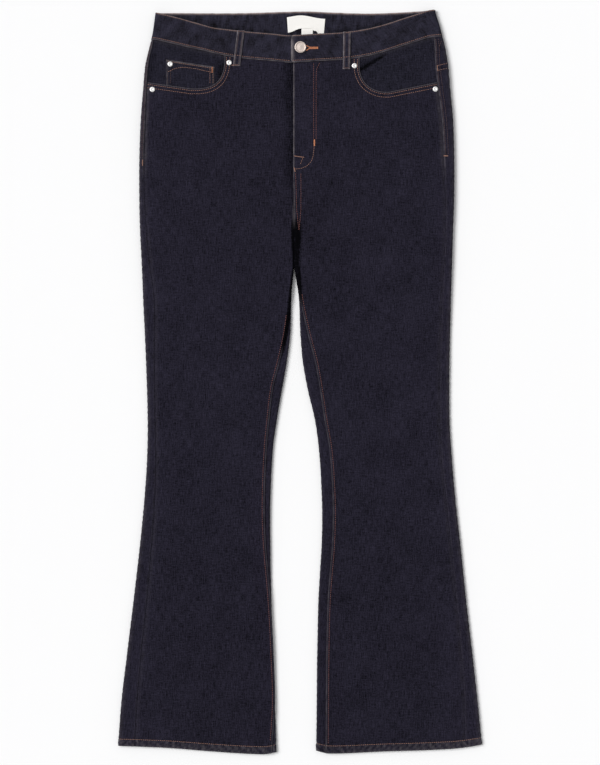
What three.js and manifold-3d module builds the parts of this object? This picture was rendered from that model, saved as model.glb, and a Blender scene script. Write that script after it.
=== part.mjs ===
// Flared five-pocket jeans, lying flat on their back with the front side up.
// Millimetres. +X is the wearer's left, +Y runs from the hems to the waist, +Z is up from the surface.
// Each cloth piece is a wall that follows one flattened tube: a top face (the front of the jeans),
// a bottom face (the back) and a round fold along each edge.

import * as THREE from 'three';
import { mergeVertices } from 'three/addons/utils/BufferGeometryUtils.js';
import Module from 'manifold-3d';

const wasm = await Module();
wasm.setup();

// ---- driving sizes ----

const GAP = 0.3; // between two pieces that meet at a seam or lie on each other
const DENIM = 1.3; // wall of a panel
const THIN = 1.1; // wall of facings, coin pocket, back pockets and belt loops
const LEG_HEIGHT = 5.4; // a flattened leg, both layers
const SEAT_HEIGHT = 8.2; // the flattened hips, with the pockets inside
const BAND_HEIGHT = 8.6; // the flattened waistband
const BAND_WALL = 2.0; // two layers of denim
const BAND_WIDTH = 39; // waistband from seam to top edge
const BACK_LIFT = 1.5; // the back pockets and loops hold the back this far off the surface

const CROTCH = 168; // height of the point where the four panels meet
const VALLEY_TOP = 245; // the halves start to turn down towards each other here
const HEM = { width: 10, wall: 2.2 };
const FLY = { edge: -9.9, bottom: 306, top: 455, underlap: 3, sink: 1.6, shield: 4.1 };
const YOKE = { side: 455, drop: 37 }; // seam height at the sides, and how much lower it is at the centre
const OVERLAP = { end: -13, under: 22, lift: 0.9, dip: 1.4 }; // the two ends of the waistband at the button
const BUTTON = { x: 0.6, y: 483, radius: 8.5, shank: 2.4 };
const BUTTONHOLE = { length: 24, slit: 1, room: 0.6 };
const BACK_POCKET = { inner: 34, top: 405, width: 142, narrow: 10, length: 138, point: 17, tilt: 5 };
const LABEL = { left: -19, right: 36.5, top: 529, bottom: 506, wall: 0.5 };
const LABEL_TAB = { left: 2, right: 19, bottom: 484 };
const LOOP_WIDTH = 10.5;
const ON_BAND = BAND_HEIGHT + GAP + THIN; // outer surface of a belt loop on the front
const UNDER_BACK = BACK_LIFT - GAP; // top of what lies between the back and the surface

// Outer edge and side seam at a height, outwards from X = 0; a seam is given by its inset from the edge.
const OUTER = table(['at', 'rightEdge', 'rightSeam', 'leftEdge', 'leftSeam'], [
  [534, 209.5, 2.5, 196.5, 12],
  [495, 215.5, 2.8, 208, 13.3],
  [458, 224, 3.7, 214.8, 18],
  [422, 227.5, 4.5, 218, 17],
  [378, 231, 6, 222, 15.5],
  [320, 233, 6, 223.8, 14.2],
  [262, 233, 7, 223.5, 11.5],
  [219, 232, 8.5, 222, 9.8],
  [168, 229.5, 11, 220.5, 10.8],
  [117, 227.5, 15.5, 219, 11.6],
  [30, 223.5, 11.5, 217, 12.4],
  [-57, 221, 10, 217, 12.5],
  [-115, 222, 12, 220.5, 13.5],
  [-173, 226, 14.2, 225.5, 12],
  [-231, 231.5, 16, 232, 12.8],
  [-318, 241.5, 18.3, 241, 13.2],
  [-400, 251.5, 20, 250.5, 15],
  [-463, 259, 22, 257.5, 18],
  [-529, 264, 23, 264, 23],
]);

// Inner edge of each leg and its inside seam, from the crotch down.
const INNER = table(['at', 'rightEdge', 'rightSeam', 'leftEdge', 'leftSeam'], [
  [168, 4.2, 0, -4.2, 0],
  [117, 12.3, 2, -1, 1],
  [70, 14.2, 6.5, 0.6, 11],
  [30, 19, 10.5, 4, 18],
  [-10, 26, 13.5, 11, 18.3],
  [-57, 33.8, 11.3, 21.8, 14.5],
  [-100, 39.5, 9.5, 27.5, 16],
  [-173, 43.5, 8.3, 31.7, 16.5],
  [-231, 43.5, 7, 31.5, 16],
  [-318, 41.3, 2, 27, 14],
  [-400, 37.6, 1.3, 25, 14],
  [-463, 36, 1, 24.4, 14],
  [-529, 34.5, 7, 23.5, 14.5],
]);

// Where the two halves meet, from the waist to the crotch.
const CENTRE = table(['at', 'front', 'back'], [
  [540, -9.9, 0],
  [300, -9.9, -1.5],
  [250, -7.5, -2.8],
  [216, -5, -3.6],
  [168, -4.2, -4.2],
]);

// Height of the waistband's top edge at an X, across the front and across the back.
const FRONT_TOP = table(['at', 'height'], [
  [-209.5, 534], [-179, 528], [-140, 518], [-110, 512.4], [-74, 506.5], [-42, 503.4], [-14, 501],
  [17, 502.5], [61, 505], [81, 507.5], [103, 511.5], [127, 518], [150, 525.5], [174, 533], [187, 537],
  [200, 538.5],
]);
const BACK_TOP = table(['at', 'height'], [
  [-209.5, 534], [-90, 533.5], [6, 536], [48, 534.5], [96, 533], [142, 534.3], [180, 537], [200, 538.5],
]);

// How far the hem line falls below its height at the outer edge; `at` is the share of the leg's width.
const HEM_FALL = table(['at', 'right', 'left'], [
  [0, 0, 0], [0.13, 1, 5], [0.33, 3, 8], [0.6, 8, 10], [0.92, 12, 13], [1, 9, 9],
]);

const HALVES = [
  { name: 'right', sign: -1, waist: 495, hem: -529, underlap: FLY.underlap, facingDepth: 3.0 },
  { name: 'left', sign: 1, waist: 499.5, hem: -527, underlap: FLY.edge, facingDepth: 1.6 },
];
const [RIGHT, LEFT] = HALVES;

// ---- small tools ----

function table(names, rows) {
  return rows.map((row) => Object.fromEntries(names.map((name, i) => [name, row[i]])));
}

// Smooth value of one column at a place along the table, level past its ends.
function read(rows, name, place) {
  const up = rows[0].at < rows[rows.length - 1].at ? rows : [...rows].reverse();
  const last = up.length - 1;
  if (place <= up[0].at) return up[0][name];
  if (place >= up[last].at) return up[last][name];
  const k = up.findIndex((row) => row.at > place) - 1;
  const slope = (i) => {
    const before = up[Math.max(i - 1, 0)];
    const after = up[Math.min(i + 1, last)];
    return (after[name] - before[name]) / (after.at - before.at);
  };
  const span = up[k + 1].at - up[k].at;
  const t = (place - up[k].at) / span;
  const rise = up[k + 1][name] - up[k][name];
  const start = slope(k) * span - rise;
  const end = rise - slope(k + 1) * span;
  return up[k][name] + t * rise + t * (1 - t) * ((1 - t) * start + t * end);
}

const lerp = THREE.MathUtils.lerp;
const smooth = THREE.MathUtils.smoothstep;
const ramp = (x, from, to) => THREE.MathUtils.clamp((x - from) / (to - from), 0, 1);

// `count` + 1 places from `a` to `b`.
const steps = (a, b, count) => Array.from({ length: count + 1 }, (_, i) => lerp(a, b, i / count));

// A closed solid between two grids of points, outer(i, j) and inner(i, j).
function slab(rows, columns, outer, inner) {
  const points = [];
  for (const face of [outer, inner]) {
    for (let i = 0; i < rows; i++) {
      for (let j = 0; j < columns; j++) points.push(face(i, j));
    }
  }
  const id = (side, i, j) => side * rows * columns + i * columns + j;
  const index = [];
  const quad = (a, b, c, d) => index.push(a, b, c, a, c, d);
  for (let i = 0; i < rows - 1; i++) {
    for (let j = 0; j < columns - 1; j++) {
      quad(id(0, i, j), id(0, i, j + 1), id(0, i + 1, j + 1), id(0, i + 1, j));
      quad(id(1, i, j), id(1, i + 1, j), id(1, i + 1, j + 1), id(1, i, j + 1));
    }
  }
  const rim = [];
  for (let j = 0; j < columns - 1; j++) rim.push([0, j]);
  for (let i = 0; i < rows - 1; i++) rim.push([i, columns - 1]);
  for (let j = columns - 1; j > 0; j--) rim.push([rows - 1, j]);
  for (let i = rows - 1; i > 0; i--) rim.push([i, 0]);
  rim.forEach(([i, j], k) => {
    const [m, n] = rim[(k + 1) % rim.length];
    quad(id(0, i, j), id(1, i, j), id(1, m, n), id(0, m, n));
  });
  const geometry = new THREE.BufferGeometry().setFromPoints(points);
  geometry.setIndex(volume(points, index) < 0 ? index.reverse() : index);
  return geometry;
}

function volume(points, index) {
  let six = 0;
  const cross = new THREE.Vector3();
  for (let k = 0; k < index.length; k += 3) {
    six += points[index[k]].dot(cross.crossVectors(points[index[k + 1]], points[index[k + 2]]));
  }
  return six / 6;
}

function solid(geometry) {
  const bare = geometry.clone();
  bare.deleteAttribute('normal');
  bare.deleteAttribute('uv');
  const merged = mergeVertices(bare);
  return new wasm.Manifold(new wasm.Mesh({
    numProp: 3,
    vertProperties: new Float32Array(merged.attributes.position.array),
    triVerts: new Uint32Array(merged.index.array),
  }));
}

function cut(geometry, tool) {
  const mesh = solid(geometry).subtract(solid(tool)).getMesh();
  const result = new THREE.BufferGeometry();
  result.setAttribute('position', new THREE.BufferAttribute(mesh.vertProperties, 3));
  result.setIndex(new THREE.BufferAttribute(mesh.triVerts, 1));
  return result;
}

// A prism over an outline seen from above.
function prism(shape, low, high) {
  const settings = { depth: high - low, bevelEnabled: false, curveSegments: 10 };
  const tool = new THREE.ExtrudeGeometry(shape, settings);
  return tool.translate(0, 0, low);
}

// ---- the flattened tube ----

const bodyHeight = (row) => lerp(LEG_HEIGHT, SEAT_HEIGHT, smooth(row, 60, 200));

// One half of the tube at a row: a row is named by its height at the outer fold. Distances `a` run outwards
// from X = 0, and `turn` is the angle the cloth has turned through where it ends at the centre.
function section(half, row, height) {
  const radius = height / 2;
  const outer = read(OUTER, `${half.name}Edge`, row);
  const fold = { half, row, height, radius, outer, quarter: radius * Math.PI / 2 };
  if (row <= CROTCH) {
    const inner = read(INNER, `${half.name}Edge`, row);
    fold.turn = Math.PI / 2;
    fold.top = fold.bottom = inner + radius;
    return fold;
  }
  fold.turn = Math.PI / 2 * (1 - smooth(row, CROTCH, VALLEY_TOP));
  const underlap = lerp(read(CENTRE, 'front', row), half.underlap, ramp(row, FLY.bottom, FLY.bottom + 6));
  fold.top = half.sign * underlap + radius * Math.sin(fold.turn);
  fold.bottom = half.sign * read(CENTRE, 'back', row) + radius * Math.sin(fold.turn);
  return fold;
}

const flatLength = (fold, face) => fold.outer - fold.radius - fold[face];
const faceLength = (fold, face) => fold.quarter + flatLength(fold, face) + fold.radius * fold.turn;

// Length along the cloth from an edge to a seam whose inset from that edge is seen from above.
function alongFold(radius, inset) {
  if (inset >= radius) return radius * Math.PI / 2 + inset - radius;
  return radius * Math.acos(1 - Math.max(inset, 0) / radius);
}

// Height of a row's points: level in the legs, falling with the waist and the hem.
function rowHeight(half, face, row, a) {
  const x = half.sign * a;
  if (row < -400) {
    const fold = section(half, row, LEG_HEIGHT);
    const share = ramp(a, fold.outer, fold.top - fold.radius);
    return row - read(HEM_FALL, half.name, share) * ramp(row, -400, half.hem);
  }
  const sideTop = half.waist + BAND_WIDTH;
  const slope = (rows) => read(rows, 'height', x) - sideTop;
  if (face === 'top') return row + slope(FRONT_TOP) * smooth(row, 330, half.waist);
  const seam = YOKE.drop * ramp(a, 215, 0);
  if (row <= YOKE.side) return row - seam * smooth(row, 300, YOKE.side);
  return lerp(YOKE.side - seam, half.waist + slope(BACK_TOP), ramp(row, YOKE.side, half.waist))
    + Math.max(row - half.waist, 0);
}

// How far the back is held off the surface by its pockets and loops.
function backLift(fold, a) {
  return BACK_LIFT * ramp(fold.outer - a, 12, 40) * ramp(fold.row, 216, 245);
}

// A point on a face at distance `s` along the cloth from the outer fold, moved `out` from the outer surface.
function onFace(fold, face, s, out, sink = () => 0) {
  const { half, radius, outer, quarter } = fold;
  const flat = flatLength(fold, face);
  const up = face === 'top' ? 1 : -1;
  let a;
  let rise;
  if (s < quarter) {
    a = outer - radius + (radius + out) * Math.cos(s / radius);
    rise = (radius + out) * Math.sin(s / radius);
  } else if (s < quarter + flat) {
    a = outer - radius - (s - quarter);
    rise = radius + out;
  } else {
    const angle = (s - quarter - flat) / radius;
    a = fold[face] - (radius + out) * Math.sin(angle);
    rise = (radius + out) * Math.cos(angle);
  }
  const y = rowHeight(half, face, fold.row, a);
  const lift = face === 'top' ? -sink(half.sign * a, y) : backLift(fold, a) * ramp(s, 0, quarter);
  return new THREE.Vector3(half.sign * a, y, radius + up * rise + lift);
}

// The same for a place `t` counted right round a leg: positive under it, negative over it.
function around(fold, t, out) {
  const under = faceLength(fold, 'bottom');
  if (t < 0) return onFace(fold, 'top', -t, out);
  if (t <= under) return onFace(fold, 'bottom', t, out);
  return onFace(fold, 'top', faceLength(fold, 'top') - (t - under), out);
}

// Splits a length into parts with a number of steps each; a part that has shrunk away keeps a small share.
function stations(start, parts) {
  const total = parts.reduce((sum, part) => sum + part.length, 0);
  const kept = parts.map((part) => Math.max(part.length, part.least));
  const scale = total / kept.reduce((sum, length) => sum + length, 0);
  const places = [start];
  parts.forEach((part, k) => {
    const from = places[places.length - 1];
    for (let i = 1; i <= part.count; i++) places.push(from + kept[k] * scale * i / part.count);
  });
  return places;
}

// ---- panels ----

const LEG_ROWS = [-463, -400, -318, -231, -173, -100, -57, -10, 30, 70, 117, 145, 168];
const SEAT_ROWS = [190, 216, 245, 285, 306, 312, 360, 410];
const hemRows = (half) => [half.hem, half.hem + HEM.width, half.hem + HEM.width + 0.5];
const wall = (half, row) => (row <= half.hem + HEM.width ? HEM.wall : DENIM);

// The fly sinks the wearer's right front under the left one.
function flySink(half) {
  if (half === LEFT) return () => 0;
  return (x, y) => FLY.sink * ramp(x, -30, -13) * ramp(y, 280, 300);
}

function frontPanel(half) {
  const rows = [...legAndSeat(half), 450, half.waist - GAP / 2];
  const sections = rows.map((row) => section(half, row, bodyHeight(row)));
  const columns = sections.map((fold) => {
    const inseam = fold.row > CROTCH ? 0 : alongFold(fold.radius, read(INNER, `${half.name}Seam`, fold.row));
    const start = alongFold(fold.radius, read(OUTER, `${half.name}Seam`, fold.row)) + GAP / 2;
    const end = faceLength(fold, 'top') - inseam - GAP / 2;
    const edge = 5;
    return stations(start, [
      { length: edge, least: edge, count: 2 },
      { length: end - start - edge - 28, least: 0, count: 9 },
      { length: 20, least: 20, count: 2 },
      { length: 8, least: 8, count: 5 },
    ]);
  });
  const point = (out) => (i, j) => onFace(sections[i], 'top', columns[i][j], out(i), flySink(half));
  return slab(rows.length, columns[0].length, point(() => 0), point((i) => -wall(half, rows[i])));
}

// The back wraps over both edges of the leg, as far as the side seam and the inside seam.
function backStations(half, fold) {
  const seamOut = alongFold(fold.radius, read(OUTER, `${half.name}Seam`, fold.row)) - GAP / 2;
  const edge = { length: 12 - fold.radius, least: 0, count: 1 };
  const flat = flatLength(fold, 'bottom');
  const parts = [
    { length: Math.max(seamOut - fold.quarter, 0), least: 1, count: 1 },
    { length: Math.min(seamOut, fold.quarter), least: 3, count: 3 },
    { length: fold.quarter, least: 3, count: 3 },
    edge,
    { length: 28, least: 28, count: 1 },
    { length: flat - (12 - fold.radius) - 28 - 8, least: 0, count: 5 },
    { length: 8, least: 8, count: 1 },
  ];
  if (fold.row > CROTCH) {
    const arc = Math.max(fold.radius * fold.turn - GAP / 2, 0);
    parts.push({ length: arc, least: 0.6, count: 5 }, { length: 0, least: 0.3, count: 1 });
  } else {
    const inseam = alongFold(fold.radius, read(INNER, `${half.name}Seam`, fold.row)) - GAP / 2;
    parts.push(
      { length: fold.quarter + Math.min(inseam, fold.quarter), least: 3, count: 5 },
      { length: Math.max(inseam - fold.quarter, 0), least: 0.3, count: 1 },
    );
  }
  return stations(-seamOut, parts);
}

function backSlab(half, rows) {
  const sections = rows.map((row) => section(half, row, bodyHeight(row)));
  const columns = sections.map((fold) => {
    const places = backStations(half, fold);
    if (fold.turn === 0) places[places.length - 1] -= GAP / 2;
    return places;
  });
  const point = (out) => (i, j) => around(sections[i], columns[i][j], out(i));
  return slab(rows.length, columns[0].length, point(() => 0), point((i) => -wall(half, rows[i])));
}

const legAndSeat = (half) => [...hemRows(half), ...LEG_ROWS, ...SEAT_ROWS];
const backPanel = (half) => backSlab(half, [...legAndSeat(half), YOKE.side - GAP / 2]);
const backYoke = (half) => backSlab(half, [YOKE.side + GAP / 2, 470, half.waist - GAP / 2]);

// Pocket mouth from the waist seam down, round the scoop and out to the side seam, as a cutting outline.
const MOUTH = {
  right: { start: [-108.5, 462], bend: [-110.5, 430, -128, 421.5], low: [-158, 422.8], side: [-240, 434.5] },
  left: { start: [85.5, 456], bend: [86, 430, 105, 416.5], low: [129, 417.9], side: [232, 438.5] },
};

function mouthCut(half) {
  const { start, bend, low, side } = MOUTH[half.name];
  const clear = half.waist + 10;
  const shape = new THREE.Shape();
  shape.moveTo(start[0], clear);
  shape.lineTo(...start);
  shape.bezierCurveTo(...bend, ...low);
  shape.lineTo(...side);
  shape.lineTo(side[0], clear);
  return prism(shape, -5, 20);
}

// ---- pieces that lie on or under the front ----

// A patch of cloth over the flat of a face; place(u, v) gives its x and y, and level(x, y) its outer surface.
function patch(columns, rows, place, level, thickness) {
  const point = (depth) => (i, j) => {
    const [x, y] = place(j / columns, i / rows);
    return new THREE.Vector3(x, y, level(x, y) - depth);
  };
  return slab(rows + 1, columns + 1, point(0), point(thickness));
}

function pocketFacing(half) {
  const inner = Math.abs(MOUTH[half.name].start[0]) - 22;
  const rows = [400, 420, 440, 458, 476, half.waist - GAP / 2];
  const place = (u, v) => {
    const row = rows[Math.round(v * (rows.length - 1))];
    const fold = section(half, row, SEAT_HEIGHT);
    const seam = Math.max(read(OUTER, `${half.name}Seam`, row), fold.radius) + GAP;
    const a = lerp(fold.outer - seam, inner, u);
    return [half.sign * a, rowHeight(half, 'top', row, a)];
  };
  return patch(10, rows.length - 1, place, () => SEAT_HEIGHT - half.facingDepth, THIN);
}

function coinPocket() {
  const place = (u, v) => {
    const x = lerp(-194, -124, u);
    return [x, lerp(408, lerp(465.8, 455.2, u), v)];
  };
  return patch(4, 3, place, () => SEAT_HEIGHT - FLY.sink, THIN);
}

function flyShield() {
  return patch(2, 4, (u, v) => [lerp(-6, 30, u), lerp(302, FLY.top, v)], () => FLY.shield, 1.0);
}

// Tape with the chain standing on it, one plain bar section drawn along the fly.
function zip() {
  const tape = { left: -6, right: 20, low: FLY.shield + GAP, high: FLY.shield + GAP + 0.6 };
  const chain = { left: 4, right: 9, high: tape.high + 1.4 };
  const shape = new THREE.Shape([
    new THREE.Vector2(tape.left, tape.low),
    new THREE.Vector2(tape.right, tape.low),
    new THREE.Vector2(tape.right, tape.high),
    new THREE.Vector2(chain.right, tape.high),
    new THREE.Vector2(chain.right, chain.high),
    new THREE.Vector2(chain.left, chain.high),
    new THREE.Vector2(chain.left, tape.high),
    new THREE.Vector2(tape.left, tape.high),
  ]);
  const bar = new THREE.ExtrudeGeometry(shape, { depth: FLY.top - FLY.bottom, bevelEnabled: false });
  return bar.rotateX(Math.PI / 2).translate(0, FLY.top, 0);
}

// ---- waistband, loops and label ----

// One strip: from its hidden end under the overlap, round the right side, the back and the left side.
function waistband() {
  const rows = steps(GAP / 2, BAND_WIDTH, 2);
  const ends = { right: -OVERLAP.under, left: OVERLAP.end };
  const level = {
    right: (x) => OVERLAP.dip * ramp(x, -50, -18),
    left: (x) => -OVERLAP.lift * ramp(x, 65, 27),
  };
  const halfRun = (half) => (v) => {
    const fold = { ...section(half, half.waist + v, BAND_HEIGHT), top: -60, bottom: 0 };
    const flat = fold.outer - fold.radius;
    const start = -(fold.quarter + flat - ends[half.name]);
    return stations(start, [
      { length: flat - ends[half.name], least: 0, count: 16 },
      { length: 2 * fold.quarter, least: 0, count: 6 },
      { length: 12 - fold.radius, least: 0, count: 1 },
      { length: 28, least: 0, count: 1 },
      { length: fold.outer - 40, least: 0, count: 5 },
    ]).map((t) => ({ fold, t, sink: level[half.name] }));
  };
  const strips = rows.map((v) => [...halfRun(RIGHT)(v), ...halfRun(LEFT)(v).reverse().slice(1)]);
  const point = (out) => (i, j) => {
    const { fold, t, sink } = strips[i][j];
    return onFace(fold, t < 0 ? 'top' : 'bottom', Math.abs(t), out, sink);
  };
  const strip = slab(rows.length, strips[0].length, point(0), point(-BAND_WALL));
  return cut(strip, buttonhole());
}

// Keyhole: an eyelet round the shank and a slit away from the edge, through the upper layer only.
function buttonhole() {
  const slit = BUTTONHOLE.slit / 2;
  const eye = BUTTON.shank + BUTTONHOLE.room;
  const shape = new THREE.Shape();
  const angle = Math.asin(slit / eye);
  shape.absarc(BUTTON.x, BUTTON.y, eye, angle, 2 * Math.PI - angle, false);
  shape.lineTo(BUTTON.x + BUTTONHOLE.length, BUTTON.y - slit);
  shape.lineTo(BUTTON.x + BUTTONHOLE.length, BUTTON.y + slit);
  const lower = BAND_HEIGHT - OVERLAP.dip;
  return prism(shape, lower + 0.1, lower + 6);
}

// A belt loop: a narrow strip from the top edge of the band to just below its seam.
function beltLoop(top, bottom, level) {
  const place = (u, v) => [
    lerp(bottom.x, top.x, v) + lerp(-LOOP_WIDTH, LOOP_WIDTH, u) / 2,
    lerp(bottom.y, top.y, v),
  ];
  return patch(2, 3, place, () => level, THIN);
}

// A patch pocket on the seat, with a pointed lower edge, between its panel and the surface.
function backPocket(half) {
  const size = BACK_POCKET;
  const place = (u, v) => {
    const shrink = size.narrow * v;
    const a = size.inner + lerp(shrink, size.width - shrink, u);
    const lower = size.length + size.point * (1 - Math.abs(2 * u - 1));
    return [half.sign * a, size.top + size.tilt * u - v * lower];
  };
  return patch(4, 3, place, () => UNDER_BACK, UNDER_BACK);
}

// The blank label on the inside of the back band, and the small tab below it.
const onBandInside = () => BACK_LIFT + BAND_WALL + GAP + LABEL.wall;

function label() {
  const place = (u, v) => [lerp(LABEL.left, LABEL.right, u), lerp(LABEL.bottom, LABEL.top, v)];
  return patch(2, 1, place, onBandInside, LABEL.wall);
}

function labelTab() {
  const top = LABEL.bottom - GAP;
  const place = (u, v) => [lerp(LABEL_TAB.left, LABEL_TAB.right, u), lerp(LABEL_TAB.bottom, top, v)];
  return patch(1, 1, place, onBandInside, LABEL.wall);
}

// ---- hard pieces ----

function turned(profile) {
  const lathe = new THREE.LatheGeometry(profile.map(([r, z]) => new THREE.Vector2(r, z)), 24);
  return lathe.rotateX(Math.PI / 2);
}

function button() {
  const rise = OVERLAP.dip + OVERLAP.lift;
  const { radius, shank } = BUTTON;
  return turned([
    [0, 0], [shank, 0], [shank, rise], [radius - 0.9, rise], [radius, rise + 0.7], [radius, rise + 1.9],
    [radius - 0.8, rise + 2.6], [radius - 1.8, rise + 2.2], [0, rise + 1.9],
  ]);
}

const rivet = () => turned([
  [0, 0], [3.3, 0], [3.8, 0.5], [3.5, 1.2], [2.4, 1.7], [1.2, 1.8], [0.7, 1.3], [0, 1.2],
]);

const RIVETS = table(['name', 'x', 'y', 'on'], [
  ['rivet_coin_pocket', -188, 459, SEAT_HEIGHT - FLY.sink],
  ['rivet_right_top', -102.5, 460.7, SEAT_HEIGHT],
  ['rivet_right_side', -213.7, 422, SEAT_HEIGHT],
  ['rivet_left_top', 78.9, 456.3, SEAT_HEIGHT],
  ['rivet_left_side', 196, 422.5, SEAT_HEIGHT],
]);

// ---- the object ----

const denim = new THREE.MeshStandardMaterial({ color: 0x23212d, roughness: 0.9, metalness: 0 });
const lightDenim = new THREE.MeshStandardMaterial({ color: 0x2b2832, roughness: 0.9, metalness: 0 });
const labelCloth = new THREE.MeshStandardMaterial({ color: 0xf7f5f1, roughness: 0.8, metalness: 0 });
const nickel = new THREE.MeshStandardMaterial({ color: 0xc3b3ac, roughness: 0.35, metalness: 1 });
const tape = new THREE.MeshStandardMaterial({ color: 0x1e2030, roughness: 0.7, metalness: 0 });

const jeans = new THREE.Group();

function add(name, geometry, material) {
  const mesh = new THREE.Mesh(geometry, material);
  mesh.name = name;
  jeans.add(mesh);
  return mesh;
}

for (const half of HALVES) {
  add(`front_panel_${half.name}`, cut(frontPanel(half), mouthCut(half)), denim);
  add(`back_panel_${half.name}`, backPanel(half), denim);
  add(`back_yoke_${half.name}`, backYoke(half), denim);
  add(`pocket_facing_${half.name}`, pocketFacing(half), denim);
  add(`back_pocket_${half.name}`, backPocket(half), denim);
}
add('coin_pocket', coinPocket(), denim);
add('fly_shield', flyShield(), denim);
add('zip', zip(), tape);
add('waistband', waistband(), lightDenim);
add('belt_loop_front_right', beltLoop({ x: -85.5, y: 506 }, { x: -91.6, y: 457 }, ON_BAND), lightDenim);
add('belt_loop_front_left', beltLoop({ x: 68, y: 504.5 }, { x: 67.2, y: 452 }, ON_BAND), lightDenim);
add('belt_loop_back_right', beltLoop({ x: -106, y: 532 }, { x: -106, y: 488 }, UNDER_BACK), lightDenim);
add('belt_loop_back_centre', beltLoop({ x: 0, y: 534 }, { x: 0, y: 490 }, UNDER_BACK), lightDenim);
add('belt_loop_back_left', beltLoop({ x: 106, y: 531 }, { x: 106, y: 487 }, UNDER_BACK), lightDenim);
add('label', label(), labelCloth);
add('label_tab', labelTab(), labelCloth);
add('button', button(), nickel).position.set(BUTTON.x, BUTTON.y, BAND_HEIGHT - OVERLAP.dip + GAP);
for (const { name, x, y, on } of RIVETS) add(name, rivet(), nickel).position.set(x, y, on + GAP);

// The origin is on the surface, under the middle of the garment.
const middle = new THREE.Box3().setFromObject(jeans).getCenter(new THREE.Vector3());
jeans.position.set(-middle.x, -middle.y, 0);

export default jeans;
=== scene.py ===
"""Looks of the flared jeans, lying flat on their back with the front side up.

Places are millimetres on the garment's own pattern, as in the part's source: +X is the wearer's
left, +Y runs from the hems to the waist and +Z is up from the surface. place() carries them into
the frame, in metres.
"""

import math
from types import SimpleNamespace

import bpy
import numpy as np
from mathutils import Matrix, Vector
from mathutils.bvhtree import BVHTree


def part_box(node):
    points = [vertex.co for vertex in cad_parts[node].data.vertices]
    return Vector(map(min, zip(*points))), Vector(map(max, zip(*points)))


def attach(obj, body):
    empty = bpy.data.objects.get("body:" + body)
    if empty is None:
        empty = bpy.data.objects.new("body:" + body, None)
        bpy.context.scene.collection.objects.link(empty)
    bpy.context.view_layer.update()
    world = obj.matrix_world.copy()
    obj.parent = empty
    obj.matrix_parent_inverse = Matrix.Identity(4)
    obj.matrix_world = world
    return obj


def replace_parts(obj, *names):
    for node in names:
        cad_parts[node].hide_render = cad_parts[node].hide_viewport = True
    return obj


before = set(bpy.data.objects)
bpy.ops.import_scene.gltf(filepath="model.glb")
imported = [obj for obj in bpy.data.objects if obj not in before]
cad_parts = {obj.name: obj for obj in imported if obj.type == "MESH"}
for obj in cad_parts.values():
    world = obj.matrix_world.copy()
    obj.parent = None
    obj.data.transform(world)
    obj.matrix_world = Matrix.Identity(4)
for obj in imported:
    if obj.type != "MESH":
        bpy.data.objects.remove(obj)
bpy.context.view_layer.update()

MM = 0.001

# ---- driving sizes, as in the part's source ----

LEG_HEIGHT, SEAT_HEIGHT, BAND_HEIGHT = 5.4, 8.2, 8.6
BAND_WIDTH, BACK_LIFT = 39, 1.5
CROTCH, VALLEY_TOP = 168, 245
HEM_WIDTH = 10
HEM_FALL_START = -400  # the legs' rows are level above this height
YOKE_REACH = 215  # the yoke's seam reaches its full drop at the centre and none this far out
HIP_STITCHED = (290, 330)  # the side seam is topstitched above this, and only pressed below it
FLY = SimpleNamespace(edge=-9.9, bottom=306, top=455, underlap=3, sink=2.1)
YOKE = SimpleNamespace(side=455, drop=37)
OVERLAP = SimpleNamespace(end=-13, under=22, lift=0.9, dip=1.4)
BUTTON = (0.6, 483)
BACK_POCKET = SimpleNamespace(inner=34, top=405, width=142, narrow=10, length=138, point=17, tilt=5)
LOOP_WIDTH = 10.5

WALL = 0.9  # one layer of the denim as it shows
HEM_WALL = 1.8  # the hem is turned twice and pressed
SEAM = 0.15  # half the gap between two pieces at a seam
LAP = 1.0  # how far the upper piece of a seam runs over the lower one


def table(names, rows):
    return {name: np.array(column, float) for name, column in zip(names, zip(*rows))}


# Outer edge and side seam at a height, outwards from X = 0; a seam is given by its inset from the edge.
OUTER = table(
    ("at", "right_edge", "right_seam", "left_edge", "left_seam"),
    [
        (534, 209.5, 2.5, 196.5, 12),
        (495, 215.5, 2.8, 208, 13.3),
        (458, 224, 3.7, 214.8, 18),
        (422, 227.5, 4.5, 218, 17),
        (378, 231, 6, 222, 15.5),
        (320, 233, 6, 223.8, 14.2),
        (262, 233, 7, 223.5, 11.5),
        (219, 232, 8.5, 222, 9.8),
        (168, 229.5, 11, 220.5, 10.8),
        (117, 227.5, 15.5, 219, 11.6),
        (30, 223.5, 11.5, 217, 12.4),
        (-57, 221, 10, 217, 12.5),
        (-115, 222, 12, 220.5, 13.5),
        (-173, 226, 14.2, 225.5, 12),
        (-231, 231.5, 16, 232, 12.8),
        (-318, 241.5, 18.3, 241, 13.2),
        (-400, 251.5, 20, 250.5, 15),
        (-463, 259, 22, 257.5, 18),
        (-529, 264, 23, 264, 23),
    ],
)

# Inner edge of each leg and its inside seam, from the crotch down.
INNER = table(
    ("at", "right_edge", "right_seam", "left_edge", "left_seam"),
    [
        (168, 8.8, 0, -8.8, 4),
        (117, 12.3, 2, -1.4, 3),
        (70, 14.2, 6.5, 0.6, 11),
        (30, 19, 10.5, 4, 18),
        (-10, 26, 13.5, 11, 18.3),
        (-57, 33.8, 11.3, 21.8, 14.5),
        (-100, 39.5, 9.5, 27.5, 16),
        (-173, 43.5, 8.3, 31.7, 16.5),
        (-231, 43.5, 7, 31.5, 16),
        (-318, 41.3, 2, 27, 14),
        (-400, 37.6, 1.3, 25, 14),
        (-463, 36, 1, 24.4, 14),
        (-529, 34.5, 7, 23.5, 14.5),
    ],
)

# Where the two halves meet, from the waist to the crotch.
CENTRE = table(
    ("at", "front", "back"),
    [(540, -9.9, 0), (300, -9.9, -1.5), (250, -8.8, -3.4), (216, -8.6, -6), (168, -8.8, -8.8)],
)

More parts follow.
